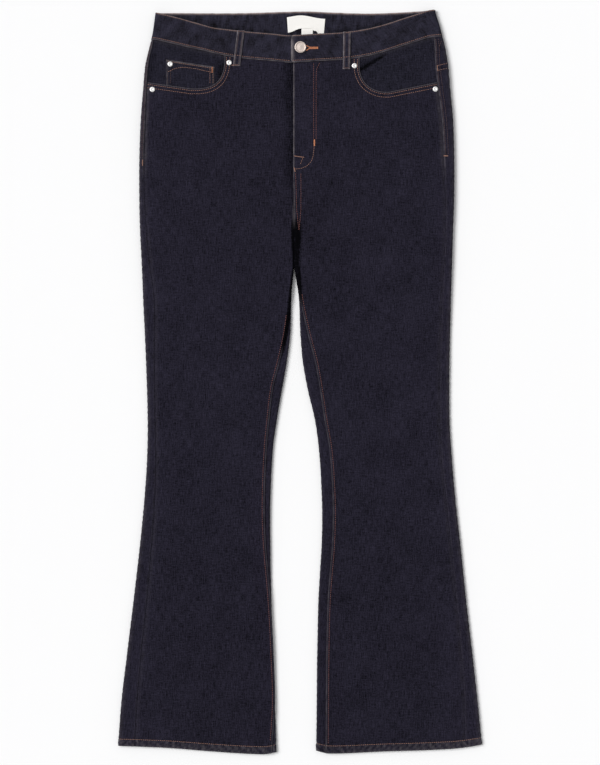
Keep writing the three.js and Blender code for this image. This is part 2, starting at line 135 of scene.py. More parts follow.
# Height of the waistband's top edge at an X, across the front and across the back.
FRONT_TOP = table(
    ("at", "height"),
    [
        (-209.5, 534), (-179, 527), (-150, 518.8), (-126, 512.2), (-110, 510), (-74, 506),
        (-42, 503.4), (-14, 501), (17, 502.5), (61, 505), (81, 507.5), (103, 511.5), (127, 518),
        (150, 525.5), (174, 533), (187, 537), (200, 538.5),
    ],
)
BACK_TOP = table(
    ("at", "height"),
    [
        (-209.5, 534), (-90, 533.5), (6, 536), (48, 534.5), (96, 533), (142, 534.3), (180, 537),
        (200, 538.5),
    ],
)

# How far the hem falls below its height at the outer edge; `at` is the share of the leg's width.
HEM_FALL = table(
    ("at", "right", "left"),
    [(0, 0, 0), (0.13, 1, 5), (0.33, 3, 8), (0.6, 8, 10), (0.92, 12, 13), (1, 9, 9)],
)

# Each half's facing lies `facing` below the panel's surface, and less deep beside its seams.
RIGHT = SimpleNamespace(
    name="right", sign=-1, waist=495, hem=-529, underlap=FLY.underlap, facing=3.0, facing_at_seams=1.65,
)
LEFT = SimpleNamespace(
    name="left", sign=1, waist=499.5, hem=-527, underlap=FLY.edge, facing=1.6, facing_at_seams=0.8,
)
HALVES = (RIGHT, LEFT)

# ---- small tools ----


def read(rows, name, at):
    """Smooth value of one column at each place along the table, level past its ends."""
    order = np.argsort(rows["at"])
    x, y = rows["at"][order], rows[name][order]
    slope = np.empty_like(y)
    slope[1:-1] = (y[2:] - y[:-2]) / (x[2:] - x[:-2])
    slope[0] = (y[1] - y[0]) / (x[1] - x[0])
    slope[-1] = (y[-1] - y[-2]) / (x[-1] - x[-2])
    at = np.clip(np.asarray(at, float), x[0], x[-1])
    k = np.clip(np.searchsorted(x, at, side="right") - 1, 0, len(x) - 2)
    span, rise = x[k + 1] - x[k], y[k + 1] - y[k]
    t = (at - x[k]) / span
    start, end = slope[k] * span - rise, rise - slope[k + 1] * span
    return y[k] + t * rise + t * (1 - t) * ((1 - t) * start + t * end)


def ramp(x, low, high):
    return np.clip((x - low) / (high - low), 0, 1)


def smooth(x, low, high):
    t = ramp(x, low, high)
    return t * t * (3 - 2 * t)


def lerp(a, b, t):
    return a + (b - a) * t


def bell(x, width):
    return np.exp(-((x / width) ** 2))


def column(values):
    return np.asarray(values, float).reshape(-1, 1)


def edge_at(rows, half, row):
    """How far out an edge of the leg lies."""
    return read(rows, half.name + "_edge", row)


def seam_inset(rows, half, row):
    """How far a seam lies from that edge, seen from above."""
    return read(rows, half.name + "_seam", row)


def side_seam(half, row):
    """How far out the side seam lies."""
    return edge_at(OUTER, half, row) - seam_inset(OUTER, half, row)


def hip(row, low, high):
    """From `low` below the hip to `high` over it, where the side seam is topstitched."""
    return lerp(low, high, smooth(row, *HIP_STITCHED))


def wander(x, y, scale, seed, stretch=1.0, waves=12):
    """A smooth uneven field of about -1 to 1; features are `scale` across, `stretch` times as tall."""
    rng = np.random.default_rng(seed)
    total = 0
    for _ in range(waves):
        heading, phase = rng.uniform(0, 2 * math.pi, 2)
        length = scale * rng.uniform(1.4, 3.0)
        turn = x * math.cos(heading) + y * math.sin(heading) / stretch
        total = total + np.sin(turn * 2 * math.pi / length + phase)
    return total / math.sqrt(waves)


# The frame's origin is under the middle of the garment; the pattern's isn't.
button_low, button_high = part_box("button")
SHIFT = np.array([
    (button_low.x + button_high.x) / 2 / MM - BUTTON[0],
    (button_low.y + button_high.y) / 2 / MM - BUTTON[1],
    0,
])


def place(points):
    return (np.asarray(points, float) + SHIFT) * MM


# ---- the flattened tube ----


def body_height(row):
    return lerp(LEG_HEIGHT, SEAT_HEIGHT, smooth(row, 60, 200))


def section(half, row, height):
    """One half of the tube at each row: its folds, and where the flat of each face ends."""
    radius = height / 2 + 0 * row
    turn = math.pi / 2 * (1 - smooth(row, CROTCH, VALLEY_TOP))
    inner = edge_at(INNER, half, row) + radius
    underlap = lerp(read(CENTRE, "front", row), half.underlap, ramp(row, FLY.bottom, FLY.bottom + 6))
    leg = row <= CROTCH
    tuck = radius * np.sin(turn)
    return SimpleNamespace(
        half=half, row=row, radius=radius, quarter=radius * math.pi / 2, turn=turn,
        outer=edge_at(OUTER, half, row),
        top=np.where(leg, inner, half.sign * underlap + tuck),
        bottom=np.where(leg, inner, half.sign * read(CENTRE, "back", row) + tuck),
    )


def plan(points):
    """The X and Y of a grid of points."""
    return points[..., 0], points[..., 1]


def face_length(fold, end):
    return fold.quarter + fold.outer - fold.radius - end + fold.radius * fold.turn


def along_fold(radius, inset):
    """Length along the cloth from an edge to a seam whose inset is seen from above."""
    near = radius * np.arccos(1 - np.clip(inset, 0, radius) / radius)
    return np.where(inset >= radius, radius * math.pi / 2 + inset - radius, near)


def slack(x):
    """How far the band's top edge is pulled down on the right front; its lower seam stays."""
    return 2.8 * bell(x + 132, 26)


def yoke_drop(a):
    """How far the yoke's seam falls towards the centre back."""
    return YOKE.drop * ramp(a, YOKE_REACH, 0)


def row_height(fold, on_top, a):
    """Height of a row's points: level in the legs, falling with the waist and the hem."""
    half, row = fold.half, fold.row
    x = half.sign * a
    leg = section(half, row, LEG_HEIGHT)
    share = ramp(a, leg.outer, leg.top - leg.radius)
    hem = row - read(HEM_FALL, half.name, share) * ramp(row, HEM_FALL_START, half.hem)
    side_top = half.waist + BAND_WIDTH
    seam_rise = slack(x) * (1 - ramp(row, half.waist, side_top))
    fall = read(FRONT_TOP, "height", x) - side_top + seam_rise
    front = row + fall * smooth(row, 330, half.waist)
    seat = row - yoke_drop(a) * smooth(row, 300, YOKE.side)
    waist = half.waist + read(BACK_TOP, "height", x) - side_top
    yoke = lerp(YOKE.side - yoke_drop(a), waist, ramp(row, YOKE.side, half.waist))
    yoke = yoke + np.maximum(row - half.waist, 0)
    body = np.where(on_top, front, np.where(row <= YOKE.side, seat, yoke))
    return np.where(row < HEM_FALL_START, hem, body)


def on_face(fold, on_top, s, out, sink=None):
    """Points at distance `s` along the cloth from the outer fold, moved `out` from its surface."""
    radius = fold.radius
    flat_start = fold.outer - radius
    end = np.where(on_top, fold.top, fold.bottom)
    flat = flat_start - end
    first, last = s < fold.quarter, s >= fold.quarter + flat
    turned_in = (s - fold.quarter - flat) / radius
    reach = radius + out
    a = np.where(first, flat_start + reach * np.cos(s / radius), flat_start - (s - fold.quarter))
    a = np.where(last, end - reach * np.sin(turned_in), a)
    rise = np.where(first, reach * np.sin(s / radius), reach)
    rise = np.where(last, reach * np.cos(turned_in), rise)
    y = row_height(fold, on_top, a)
    over_seat = ramp(fold.row, 216, 245) * ramp(s, 0, fold.quarter)
    lift = BACK_LIFT * ramp(fold.outer - a, 12, 40) * over_seat
    x = fold.half.sign * a
    lowered = 0 if sink is None else -sink(x, y)
    z = radius + np.where(on_top, rise + lowered, lift - rise)
    return np.stack([x, y, z + 0 * x], axis=-1)


def around(fold, t, out):
    """The same for a place `t` counted right round a leg: positive under it, negative over it."""
    under, over = face_length(fold, fold.bottom), face_length(fold, fold.top)
    beyond = t > under
    s = np.where(beyond, over - (t - under), np.abs(t))
    return on_face(fold, (t < 0) | beyond, s, out)


def spread(start, parts):
    """Places along the cloth in each row, from parts given as length, least length and steps."""
    kept = [np.maximum(length, least) for length, least, _ in parts]
    scale = sum(length for length, _, _ in parts) / sum(kept)
    places = [start]
    for (_, _, count), length in zip(parts, kept):
        origin = places[-1]
        places += [origin + length * scale * i / count for i in range(1, count + 1)]
    return np.concatenate([p + 0 * start for p in places], axis=1)


# ---- meshes ----


def grid_faces(ids):
    """Four-sided faces of a grid of point numbers."""
    return np.stack([ids[:-1, :-1], ids[:-1, 1:], ids[1:, 1:], ids[1:, :-1]], axis=-1).reshape(-1, 4)


def ring_faces(ids):
    """Four-sided faces between rings of point numbers; each ring runs along the last axis."""
    near, far = ids[..., :-1, :], ids[..., 1:, :]
    return np.stack([near, np.roll(near, -1, -1), np.roll(far, -1, -1), far], axis=-1).reshape(-1, 4)


def cap(ring):
    """Four-sided faces that close a ring of an even number of points."""
    k, last = np.arange(len(ring) // 2 - 1), len(ring) - 1
    return ring[np.column_stack([k, k + 1, last - k - 1, last - k])]


def numbered(shape):
    """The numbers of a grid's points."""
    return np.arange(math.prod(shape)).reshape(shape)


def circle(sides):
    """Angles once round."""
    return np.linspace(0, 2 * math.pi, sides, endpoint=False)


def shell(outer, inner, uv, **fields):
    """A closed wall between two grids of points, with a pattern map and fields of values."""
    shape = outer.shape[:2]
    ids, count = numbered(shape), math.prod(shape)
    face = grid_faces(ids)
    rim = np.concatenate([ids[0, :-1], ids[:-1, -1], ids[-1, :0:-1], ids[:0:-1, 0]])
    ahead = np.roll(rim, -1)
    side = np.stack([rim, rim + count, ahead + count, ahead], axis=-1)
    faces = np.concatenate([face, face[:, ::-1] + count, side])
    points = np.concatenate([outer.reshape(-1, 3), inner.reshape(-1, 3)])
    a, b, c, d = (points[faces[:, k]] for k in range(4))
    volume = np.einsum("ij,ij->", a, np.cross(b, c)) + np.einsum("ij,ij->", a, np.cross(c, d))
    return SimpleNamespace(
        points=points, faces=faces if volume > 0 else faces[:, ::-1],
        uv=np.tile(uv.reshape(-1, 2), (2, 1)),
        values={name: np.tile((value + np.zeros(shape)).ravel(), 2) for name, value in fields.items()},
    )


def join(*parts):
    """Several closed forms as one mesh."""
    starts = np.cumsum([0] + [len(part.points) for part in parts[:-1]])
    names = {name for part in parts for name in part.values}
    return SimpleNamespace(
        points=np.concatenate([part.points for part in parts]),
        faces=np.concatenate([part.faces + start for part, start in zip(parts, starts)]),
        uv=np.concatenate([part.uv for part in parts]),
        values={
            name: np.concatenate([part.values.get(name, np.zeros(len(part.points))) for part in parts])
            for name in names
        },
    )


def put(name, data):
    """A new object in the scene."""
    thing = bpy.data.objects.new(name, data)
    bpy.context.scene.collection.objects.link(thing)
    return thing


def shade(mesh, sharp=50):
    mesh.shade_smooth()
    mesh.set_sharp_from_angle(angle=math.radians(sharp))


def piece(name, form, material, slot, sharp=50):
    """A named object from a form in the pattern's millimetres, riding on the garment."""
    mesh = bpy.data.meshes.new(name)
    mesh.from_pydata(place(form.points).tolist(), [], form.faces.tolist())
    layer = mesh.uv_layers.new(name="pattern")
    corners = np.empty(len(mesh.loops), np.int32)
    mesh.loops.foreach_get("vertex_index", corners)
    layer.data.foreach_set("uv", (form.uv[corners] * MM).astype(np.float32).ravel())
    for field, value in form.values.items():
        attribute = mesh.attributes.new(field, "FLOAT", "POINT")
        attribute.data.foreach_set("value", value.astype(np.float32))
    mesh.materials.append(material)
    shade(mesh, sharp)
    thing = put(name, mesh)
    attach(thing, "root")
    return thing


CUT = (-5, 20)  # heights below and above the whole garment


def carve(thing, outline):
    """Cuts a prism over an outline seen from above out of a piece."""
    x, y = np.transpose(outline)
    if np.dot(x, np.roll(y, -1)) < np.dot(y, np.roll(x, -1)):
        outline = outline[::-1]
    count = len(outline)
    levels = [np.column_stack([outline, np.full(count, z)]) for z in CUT]
    sides = [(k, (k + 1) % count, (k + 1) % count + count, k + count) for k in range(count)]
    tool_mesh = bpy.data.meshes.new("cutter")
    ends = [range(count - 1, -1, -1), range(count, 2 * count)]
    tool_mesh.from_pydata(place(np.concatenate(levels)).tolist(), [], [*ends, *sides])
    tool = put("cutter", tool_mesh)
    cut = thing.modifiers.new("cut", "BOOLEAN")
    cut.operation, cut.solver, cut.object = "DIFFERENCE", "EXACT", tool
    graph = bpy.context.evaluated_depsgraph_get()
    shaped = bpy.data.meshes.new_from_object(thing.evaluated_get(graph))
    thing.modifiers.remove(cut)
    old, name = thing.data, thing.data.name
    thing.data = shaped
    bpy.data.meshes.remove(old)
    shaped.name = name
    bpy.data.objects.remove(tool)
    bpy.data.meshes.remove(tool_mesh)
    shade(shaped)


def along_path(path):
    """Unit steps along a path."""
    ahead = np.gradient(path, axis=0)
    return ahead / np.linalg.norm(ahead, axis=1, keepdims=True)


def tube(path, radius, **fields):
    """An eight-sided bead along a path, closed at both ends."""
    ahead = along_path(path)
    side = np.cross(ahead, (0, 0, 1.0))
    side /= np.linalg.norm(side, axis=1, keepdims=True)
    up = np.cross(side, ahead)
    angle = circle(8)[None, :, None]
    ring = np.cos(angle) * side[:, None] + np.sin(angle) * up[:, None]
    points = path[:, None] + radius * ring
    ids = numbered(points.shape[:2])
    points = points.reshape(-1, 3)
    return SimpleNamespace(
        points=points, faces=np.concatenate([ring_faces(ids), cap(ids[0]), cap(ids[-1])[:, ::-1]]),
        uv=points[:, :2].copy(),
        values={name: np.full(len(points), float(value)) for name, value in fields.items()},
    )


# ---- how the cloth lies ----

# Soft creases in the pressed fronts: start, end, half width, and height (a trough's is negative).
CREASES = [
    ((83, 331), (146, 343), 7, 0.45),
    ((72, 262), (124, 267), 8, -0.35),
    ((30, 250), (88, 214), 10, 0.4),
    ((20, 226), (70, 168), 9, -0.4),
    ((12, 190), (48, 96), 10, 0.35),
    ((-138, 303), (-90, 314), 6, 0.4),
    ((-24, 246), (-92, 206), 10, 0.35),
    ((-16, 214), (-60, 150), 9, -0.35),
    ((-123, 44), (-70, 28), 12, -0.35),
    ((150, 6), (86, -18), 12, 0.35),
    ((110, -120), (168, -146), 11, -0.3),
    ((-176, -150), (-112, -128), 12, 0.3),
    ((60, 390), (112, 352), 9, 0.3),
    ((-150, 392), (-96, 366), 9, -0.3),
]


def crease(x, y, start, end, width, height):
    along = np.subtract(end, start)
    length = np.hypot(*along)
    run = ((x - start[0]) * along[0] + (y - start[1]) * along[1]) / length
    off = ((x - start[0]) * along[1] - (y - start[1]) * along[0]) / length
    fade = smooth(run, -width, 0.35 * length) * (1 - smooth(run, 0.65 * length, length + width))
    return height * bell(off, width) * fade


def relief(x, y):
    """How far the pressed cloth stands off its flat form."""
    total = 0.34 + 0.2 * wander(x, y, 55, 3) + 0.07 * wander(x, y, 17, 5, stretch=1.6)
    for start, end, width, height in CREASES:
        total = total + crease(x, y, start, end, width, height)
    return np.maximum(total, 0)


def tone(x, y):
    """Lighter and darker areas: the lower legs are darker, the outer sides lighter, and the middle from
    the upper thighs to the fly darker.
    """
    calves = -0.45 * smooth(-y, 60, 330)
    sides = 0.5 * smooth(np.abs(x), 178, 222)
    middle = -0.45 * bell(x - 6, 60) * smooth(y, 40, 200) * (1 - smooth(y, 250, 340))
    uneven = 0.25 * wander(x, y, 48, 11) + 0.25 * wander(x, y, 15, 12, stretch=2)
    return calves + sides + middle + uneven


def roping(x, y, pitch, seed):
    """Uneven ripples across a seam that has drawn up in the wash."""
    return np.sin(2 * math.pi * (x + y) / pitch + 2.2 * wander(x, y, 3 * pitch, seed))


def hem_form(half, x, row):
    """Height and wear of the turned hem: thick below its stitching, twisted and rounded at the fold."""
    up = row - half.hem
    band = 1 - smooth(up, HEM_WIDTH - 0.6, HEM_WIDTH + 0.8)
    ropes = roping(x, 0.55 * up, 13, 21)
    twist = 0.28 * ropes * band * smooth(up, 0, 2)
    groove = -0.35 * bell(up - HEM_WIDTH, 0.9)
    streaks = 0.2 * wander(x + 0.5 * up, 0.4 * up, 2.6, 23) + 0.05 * ropes
    wear = band * np.maximum(0.12 + streaks, 0) + 0.3 * bell(up, 1.2)
    return 0.3 * band + twist + groove, wear


def hem_wall(half, row, out):
    """The inner surface behind an outer one: the hem is two layers, and closes at its fold."""
    up = row - half.hem
    thickness = np.where(up <= HEM_WIDTH + 0.3, HEM_WALL, WALL)
    return out - thickness * np.sqrt(np.clip(1 - (1 - ramp(up, -0.2, 1.1)) ** 2, 0.05, 1))


def leg_rows(half, top):
    """Heights of a panel's rows from the hem to its top, closer together at both ends."""
    near_hem = half.hem + np.array(
        [0, 0.3, 0.9, 1.8, 3, 4.5, 6, 7.5, 8.8, 9.6, 10.4, 11.3, 12.5, 14.5, 17, 20]
    )
    near_top = top - np.array([11, 8, 6, 4.5, 3.2, 2.2, 1.4, 0.7, 0.3, 0])
    count = int(round((near_top[0] - near_hem[-1]) / 3.9))
    between = np.linspace(near_hem[-1], near_top[0], count + 1)
    return column(np.concatenate([near_hem[:-1], between, near_top[1:]]))


def lapped(distance, height=0.45):
    """The upper edge of a seam: a raised, rounded and slightly worn rim."""
    return height * (1 - smooth(distance, 3.5, 8)) - 0.45 * (1 - ramp(distance, 0, 0.5)) ** 2


def tucked(distance, depth=0.85):
    """The lower edge of a seam, running under the upper one."""
    return -depth * (1 - smooth(distance, 0.6, 5.5))


# ---- front panels ----


def fly_sink(half):
    """The fly sinks the wearer's right front under the left one."""
    if half is LEFT:
        return None
    return lambda x, y: FLY.sink * smooth(x, -29, -11) * smooth(y, 268, 300)


def valley_shade(half, row, from_edge):
    """Painted shade for the deep fold between the thighs, from under the fly seam to below the crotch."""
    left = half is LEFT
    narrow = lerp(3, 6.5, smooth(row, 100, 165)) if left else 4.5
    reach = np.where(row <= CROTCH, narrow, 12.5 if left else 5)
    low = 95 if left else 20
    depth = smooth(row, low, low + 40) * (1 - smooth(row, 218, 238))
    return (1 - smooth(from_edge, 0.6 * reach, reach)) * depth


def front_panel(half):
    row = leg_rows(half, half.waist - SEAM)
    fold = section(half, row, body_height(row))
    leg, left, right = row <= CROTCH, half is LEFT, half is RIGHT
    overlap = np.where(leg, LAP, 0 if left else 1.2 * smooth(row, 250, 270))
    inseam = np.where(leg, along_fold(fold.radius, seam_inset(INNER, half, row)), 0)
    start = along_fold(fold.radius, seam_inset(OUTER, half, row)) + SEAM
    end = face_length(fold, fold.top) - inseam - SEAM + overlap
    edge = [(0.35, 0.3, 1), (0.65, 0.6, 1), (2, 1.6, 2), (5, 4, 4)]
    s = spread(start, edge + [(end - start - 36, 0, 50), (20, 16, 8)] + edge[::-1])
    x, y = plan(on_face(fold, True, s, 0))
    from_side, from_centre = s - start, end - s
    hem_out, hem_wear = hem_form(half, x, row)
    under = right * smooth(row, 245, 262)  # the right front runs under the left along the fly
    out = relief(x, y) * (1 - 0.6 * bell(from_side, 5)) + tucked(from_side, hip(row, 0.6, 0.85))
    out = out + lerp(lapped(from_centre), tucked(from_centre, 0.7), under) + hem_out
    out = out + 0.1 * roping(x, y, 9, 31) * bell(from_side - 4, 4)
    out = out + 0.08 * roping(x, y, 8, 32) * bell(from_centre, 6) + tucked(half.waist - row, 0.7)
    uneven = 0.75 + 0.25 * wander(x, y, 7, 41)
    rim = bell(from_centre - 0.5, 1.1) * (1 - under)
    rim = rim * np.where(leg, 0.4, 0.6 + 0.4 * smooth(row, 290, 310))
    wear = hem_wear + uneven * rim + 0.25 * uneven * bell(from_side - 3, 2.5) * hip(row, 0.25, 1)
    # painted shade in the valley between the thighs: the tone is darkened and the wear taken off
    dark = valley_shade(half, row, from_centre)
    # beside the fly: the left front's fly flap a little lighter, and painted shade on the right front
    # where the left front's edge would shade it
    fly_tone_and_painted_shade = 0.5 * left * smooth(x, 22, 14) * smooth(y, 300, 320)
    fly_tone_and_painted_shade = fly_tone_and_painted_shade - 2.4 * right * smooth(x, -27, -11) * smooth(y, 240, 300)
    sink = fly_sink(half)
    return shell(
        on_face(fold, True, s, out, sink), on_face(fold, True, s, hem_wall(half, row, out), sink),
        np.stack([x, y], axis=-1),
        wear=wear * (1 - dark), tone=tone(x, y) - 6 * dark + fly_tone_and_painted_shade,
    )


# Pocket mouth from the waist seam down, round the scoop and out to the side seam.
MOUTH = {
    "right": ((-108.5, 462), (-110.5, 430), (-128, 421.5), (-158, 422.8), (-240, 434.5)),
    "left": ((85.5, 456), (86, 430), (105, 416.5), (129, 417.9), (232, 438.5)),
}


def mouth_curve(half, above=0.0):
    """Points along the mouth, a millimetre or two apart, starting `above` the top of its curve."""
    start, bend_in, bend_out, low, side = (np.array(p, float) for p in MOUTH[half.name])
    t = column(np.linspace(0, 1, 40))
    scoop = start * (1 - t) ** 3 + 3 * bend_in * t * (1 - t) ** 2
    scoop = scoop + 3 * bend_out * t ** 2 * (1 - t) + low * t ** 3
    rise = start + np.column_stack([np.zeros(12), np.linspace(above, 0, 12, endpoint=False)])
    return np.concatenate([rise if above else start[None], scoop[1:], low + t[1:] * (side - low)])


def distances(points):
    """Length run at each point of a path."""
    return np.concatenate([[0], np.cumsum(np.linalg.norm(np.diff(points, axis=0), axis=1))])


def at_run(places, run, values):
    return np.column_stack([np.interp(places, run, part) for part in np.transpose(values)])


def resample(path, step):
    """The same path with points `step` apart."""
    run = distances(path)
    return at_run(np.linspace(0, run[-1], max(int(round(run[-1] / step)), 1) + 1), run, path)


def offset(path, distance):
    """A plan path moved sideways, to the right of its direction where distance is positive."""
    ahead = along_path(path)
    return path + distance * np.column_stack([ahead[:, 1], -ahead[:, 0]])


def waist_height(x):
    """Height of the waist seam across the front."""
    return read(FRONT_TOP, "height", x) - BAND_WIDTH + slack(x)


def mouth_bead(half):
    """The folded edge of the pocket mouth: a worn bead on the panel's cut edge."""
    start = MOUTH[half.name][0]
    rise = float(waist_height(start[0])) - start[1] - 1.0
    path = resample(mouth_curve(half, above=rise), 1.5)
    path = path[np.abs(path[:, 0]) < side_seam(half, path[:, 1]) - 1.2]
    level = SEAT_HEIGHT - 0.45 + relief(path[:, 0], path[:, 1]) * 0.9
    return tube(np.column_stack([path, level]), 0.7, wear=0.55, tone=0.3)


# ---- back panels and yokes ----


def back_form(half, row, edges):
    """The back wraps over both edges of the leg, as far as the side seam and the inside seam."""
    fold = section(half, row, body_height(row))
    leg = row <= CROTCH
    seam_out = along_fold(fold.radius, seam_inset(OUTER, half, row)) - SEAM + LAP
    inseam = np.where(leg, along_fold(fold.radius, seam_inset(INNER, half, row)) - SEAM, -SEAM)
    under = face_length(fold, fold.bottom)
    end = under + inseam
    edge = [(0.35, 0.3, 1), (0.65, 0.6, 1), (2, 1.2, 3)]
    flat = fold.outer - fold.radius - fold.bottom
    tail = end - fold.quarter - flat
    t = spread(-seam_out, edge + [
        (seam_out - 3, 0.5, 7), (fold.quarter, 3, 8), (flat - 8, 0, 46), (8, 8, 4), (tail - 3, 1, 18),
    ] + edge[::-1])
    x, y = plan(around(fold, t, 0))
    from_side, from_inseam, below = t + seam_out, end - t, (t > 0) & (t < under)
    over = np.where(t < 0, 1 - smooth(t, -fold.radius, 0), np.where(t > under, 1.0, 0.0))
    hem_out, hem_wear = hem_form(half, x, row)
    out = np.where(over > 0, relief(x, y) * over * 0.6, 0)
    out = out - 0.6 * relief(x, y + 40) * smooth(np.minimum(t, under - t), 0, 14)
    out = out + np.where(below, np.minimum(hem_out, 0.1) * 0.5, hem_out)
    out = out + lapped(from_side, hip(row, 0.12, 0.4)) * (1 + 0.35 * roping(x, y, 9, 51))
    out = out + tucked(from_inseam, 0.8) + 0.25 * roping(x, y, 10, 52) * bell(t, 4)
    out = out + 0.2 * roping(x, y, 9, 53) * bell(t - under, 4) * leg + edges
    out = np.where(below, np.minimum(out, 0), out)
    uneven = 0.7 + 0.3 * wander(x, y, 6, 42)
    seam_wear = 0.55 * hip(row, 0.15, 1) * bell(from_side - 0.6, 1.3) + 0.28 * bell(t + 1.5, 4)
    wear = hem_wear + uneven * (seam_wear + 0.2 * bell(t - under, 3) * leg)
    # painted shade in the valley between the thighs, on the back's inner fold
    dark = valley_shade(half, row, from_inseam) * (t > 0)
    return shell(
        around(fold, t, out), around(fold, t, hem_wall(half, row, out)), np.stack([-t, y], axis=-1),
        wear=wear * (1 - dark), tone=tone(x, y) + 0.25 * over - 6 * dark,
    )


def back_panel(half):
    top = YOKE.side + LAP
    row = leg_rows(half, top)
    return back_form(half, row, tucked(top - row, 0.7))


def back_yoke(half):
    waist = half.waist - SEAM
    row = column(np.concatenate([
        YOKE.side + np.array([-1.2, -0.85, -0.2, 0.8, 2, 3.5, 5, 7]), np.linspace(9, 35, 9) + YOKE.side,
        waist - np.array([3.2, 2.2, 1.4, 0.7, 0]),
    ]))
    return back_form(half, row, tucked(waist - row, 0.7) + lapped(row - YOKE.side + 1.2, 0.3))


# ---- pockets and fly ----


def flat_patch(x, y, top, thickness, **fields):
    """A flat piece of cloth: a grid of places with its upper surface at `top`, closing at its edges."""
    closing = np.full(x.shape, 0.25)  # share of the thickness that each face gives up at the rim
    closing[1:-1, 1:-1] = 0
    upper = np.stack([x, y, top - thickness * closing], axis=-1)
    lower = np.stack([x, y, top - thickness * (1 - closing)], axis=-1)
    fields.setdefault("tone", tone(x, y))
    return shell(upper, lower, np.stack([x, y], axis=-1), **fields)


def eased(count):
    """Shares from 0 to 1 that start and end with short steps."""
    inner = np.linspace(0, 1, count)[1:-1]
    return np.concatenate([[0, 0.012], 0.03 + 0.94 * inner, [0.988, 1]])


def pocket_facing(half):
    """The cloth seen in the pocket mouth, from under the panel to the side seam and the waistband."""
    row = column(lerp(398, half.waist - SEAM, eased(40)))
    fold = section(half, row, SEAT_HEIGHT)
    start = along_fold(fold.radius, seam_inset(OUTER, half, row)) - 0.3
    inner = abs(MOUTH[half.name][0][0]) - 20
    end = fold.quarter + fold.outer - fold.radius - inner
    s = start + (end - start) * eased(70)[None, :]
    x, y = plan(on_face(fold, True, s, 0))
    at_waist, at_side = half.waist - row, s - start
    rise = np.maximum(1 - smooth(at_waist, 1, 16), 1 - smooth(at_side, 1, 13))
    depth = lerp(half.facing, half.facing_at_seams, rise)
    depth = lerp(depth, 0.85, 1 - smooth(at_side, 0.5, 7)) - 0.12 * wander(x, y, 20, 61)
    shading = tone(x, y) - 0.1
    if half is LEFT:  # a fold runs up from the rivet, with painted shade on its lower side
        fold_line = (x - 104) * 0.5 - (y - 461) * 0.87
        reach = smooth(x, 82, 88) * (1 - smooth(x, 116, 132))
        depth = depth + 0.75 * bell(fold_line, 2.2) * reach
        shading = shading - 5 * bell(fold_line, lerp(3.4, 1.3, ramp(x, 86, 124))) * reach
    else:  # painted shade where the panel's edge would shade the cloth beside it
        shading = shading - 2.2 * smooth(x, -126, -114) * (1 - smooth(y, 452, 468))
    return shell(
        on_face(fold, True, s, -depth), on_face(fold, True, s, -depth - 0.7),
        np.stack([x, y], axis=-1), wear=0.1 * bell(at_waist, 4), tone=shading,
    )


# The coin pocket's sides, its lower edge and the height of its top at both sides.
COIN = SimpleNamespace(left=-194, right=-124, bottom=408, top=(465.8, 455.2))


def coin_pocket():
    u, v = np.meshgrid(eased(34), eased(30))
    x = lerp(COIN.left, COIN.right, u)
    y = lerp(COIN.bottom, lerp(COIN.top[0], COIN.top[1], u), v)
    from_top = (1 - v) * 52
    from_side = np.minimum(u, 1 - u) * (COIN.right - COIN.left)
    down = 0.75 * (1 - smooth(from_side, 0, 3)) + 0.35 * (1 - smooth(from_top, 0, 1))
    ridge = 0.3 * (1 - smooth(from_top, 8, 11)) + 0.2 * (1 - smooth(from_side, 6, 8.5)) * (v < 0.995)
    top = SEAT_HEIGHT - 1.6 - down + ridge + 0.1 * wander(x, y, 18, 62)
    worn = 0.8 * bell(from_top - 0.6, 1.3) + 0.35 * bell(from_side - 0.6, 1.3)
    return flat_patch(x, y, top, 0.8, wear=worn * (0.8 + 0.2 * wander(x, y, 6, 63)))


def fly_shield():
    u, v = np.meshgrid(eased(16), eased(50))
    x, y = lerp(-6, 30, u), lerp(302, FLY.top, v)
    return flat_patch(x, y, 4.0 + 0.08 * wander(x, y, 25, 64), 0.9, wear=0 * x)


def pocket_place(half, u, v):
    """A place on the back pocket, at shares of its width and of its height below the mouth."""
    size = BACK_POCKET
    shrink = size.narrow * v
    lower = size.length + size.point * (1 - np.abs(2 * u - 1))
    x = half.sign * (size.inner + lerp(shrink, size.width - shrink, u))
    return x, size.top + size.tilt * u - v * lower


def back_pocket(half):
    """A patch pocket with a pointed lower edge and a hemmed mouth, on the underside of the seat."""
    size = BACK_POCKET
    u, v = np.meshgrid(eased(44), eased(44))
    x, y = pocket_place(half, u, v)
    edge = np.minimum(np.minimum(u, 1 - u) * size.width, np.minimum(v, 1 - v) * size.length)
    mouth = v * size.length
    top = 1.15 - 0.1 * (1 - smooth(edge, 0, 1.5))
    thick = 0.9 + 0.2 * (1 - smooth(mouth, 18, 20))
    worn = (0.7 * bell(edge - 0.5, 1.2) + 0.2 * bell(mouth - 19, 2)) * (0.8 + 0.2 * wander(x, y, 6, 65))
    return flat_patch(x, y, top, thick, wear=worn, tone=tone(x, y - 60))


# ---- waistband, loops and label ----

# Short upright creases on the inside of the back band: place, height and half width.
BAND_CREASES = [
    (-128, 0.3, 2.2), (-97, -0.35, 1.6), (-71, 0.4, 1.8), (-52, -0.25, 1.4), (-35, 0.3, 2.4),
    (46, -0.3, 1.6), (58, 0.4, 1.5), (83, 0.35, 2.2), (101, -0.3, 1.7), (133, 0.3, 2.4),
]


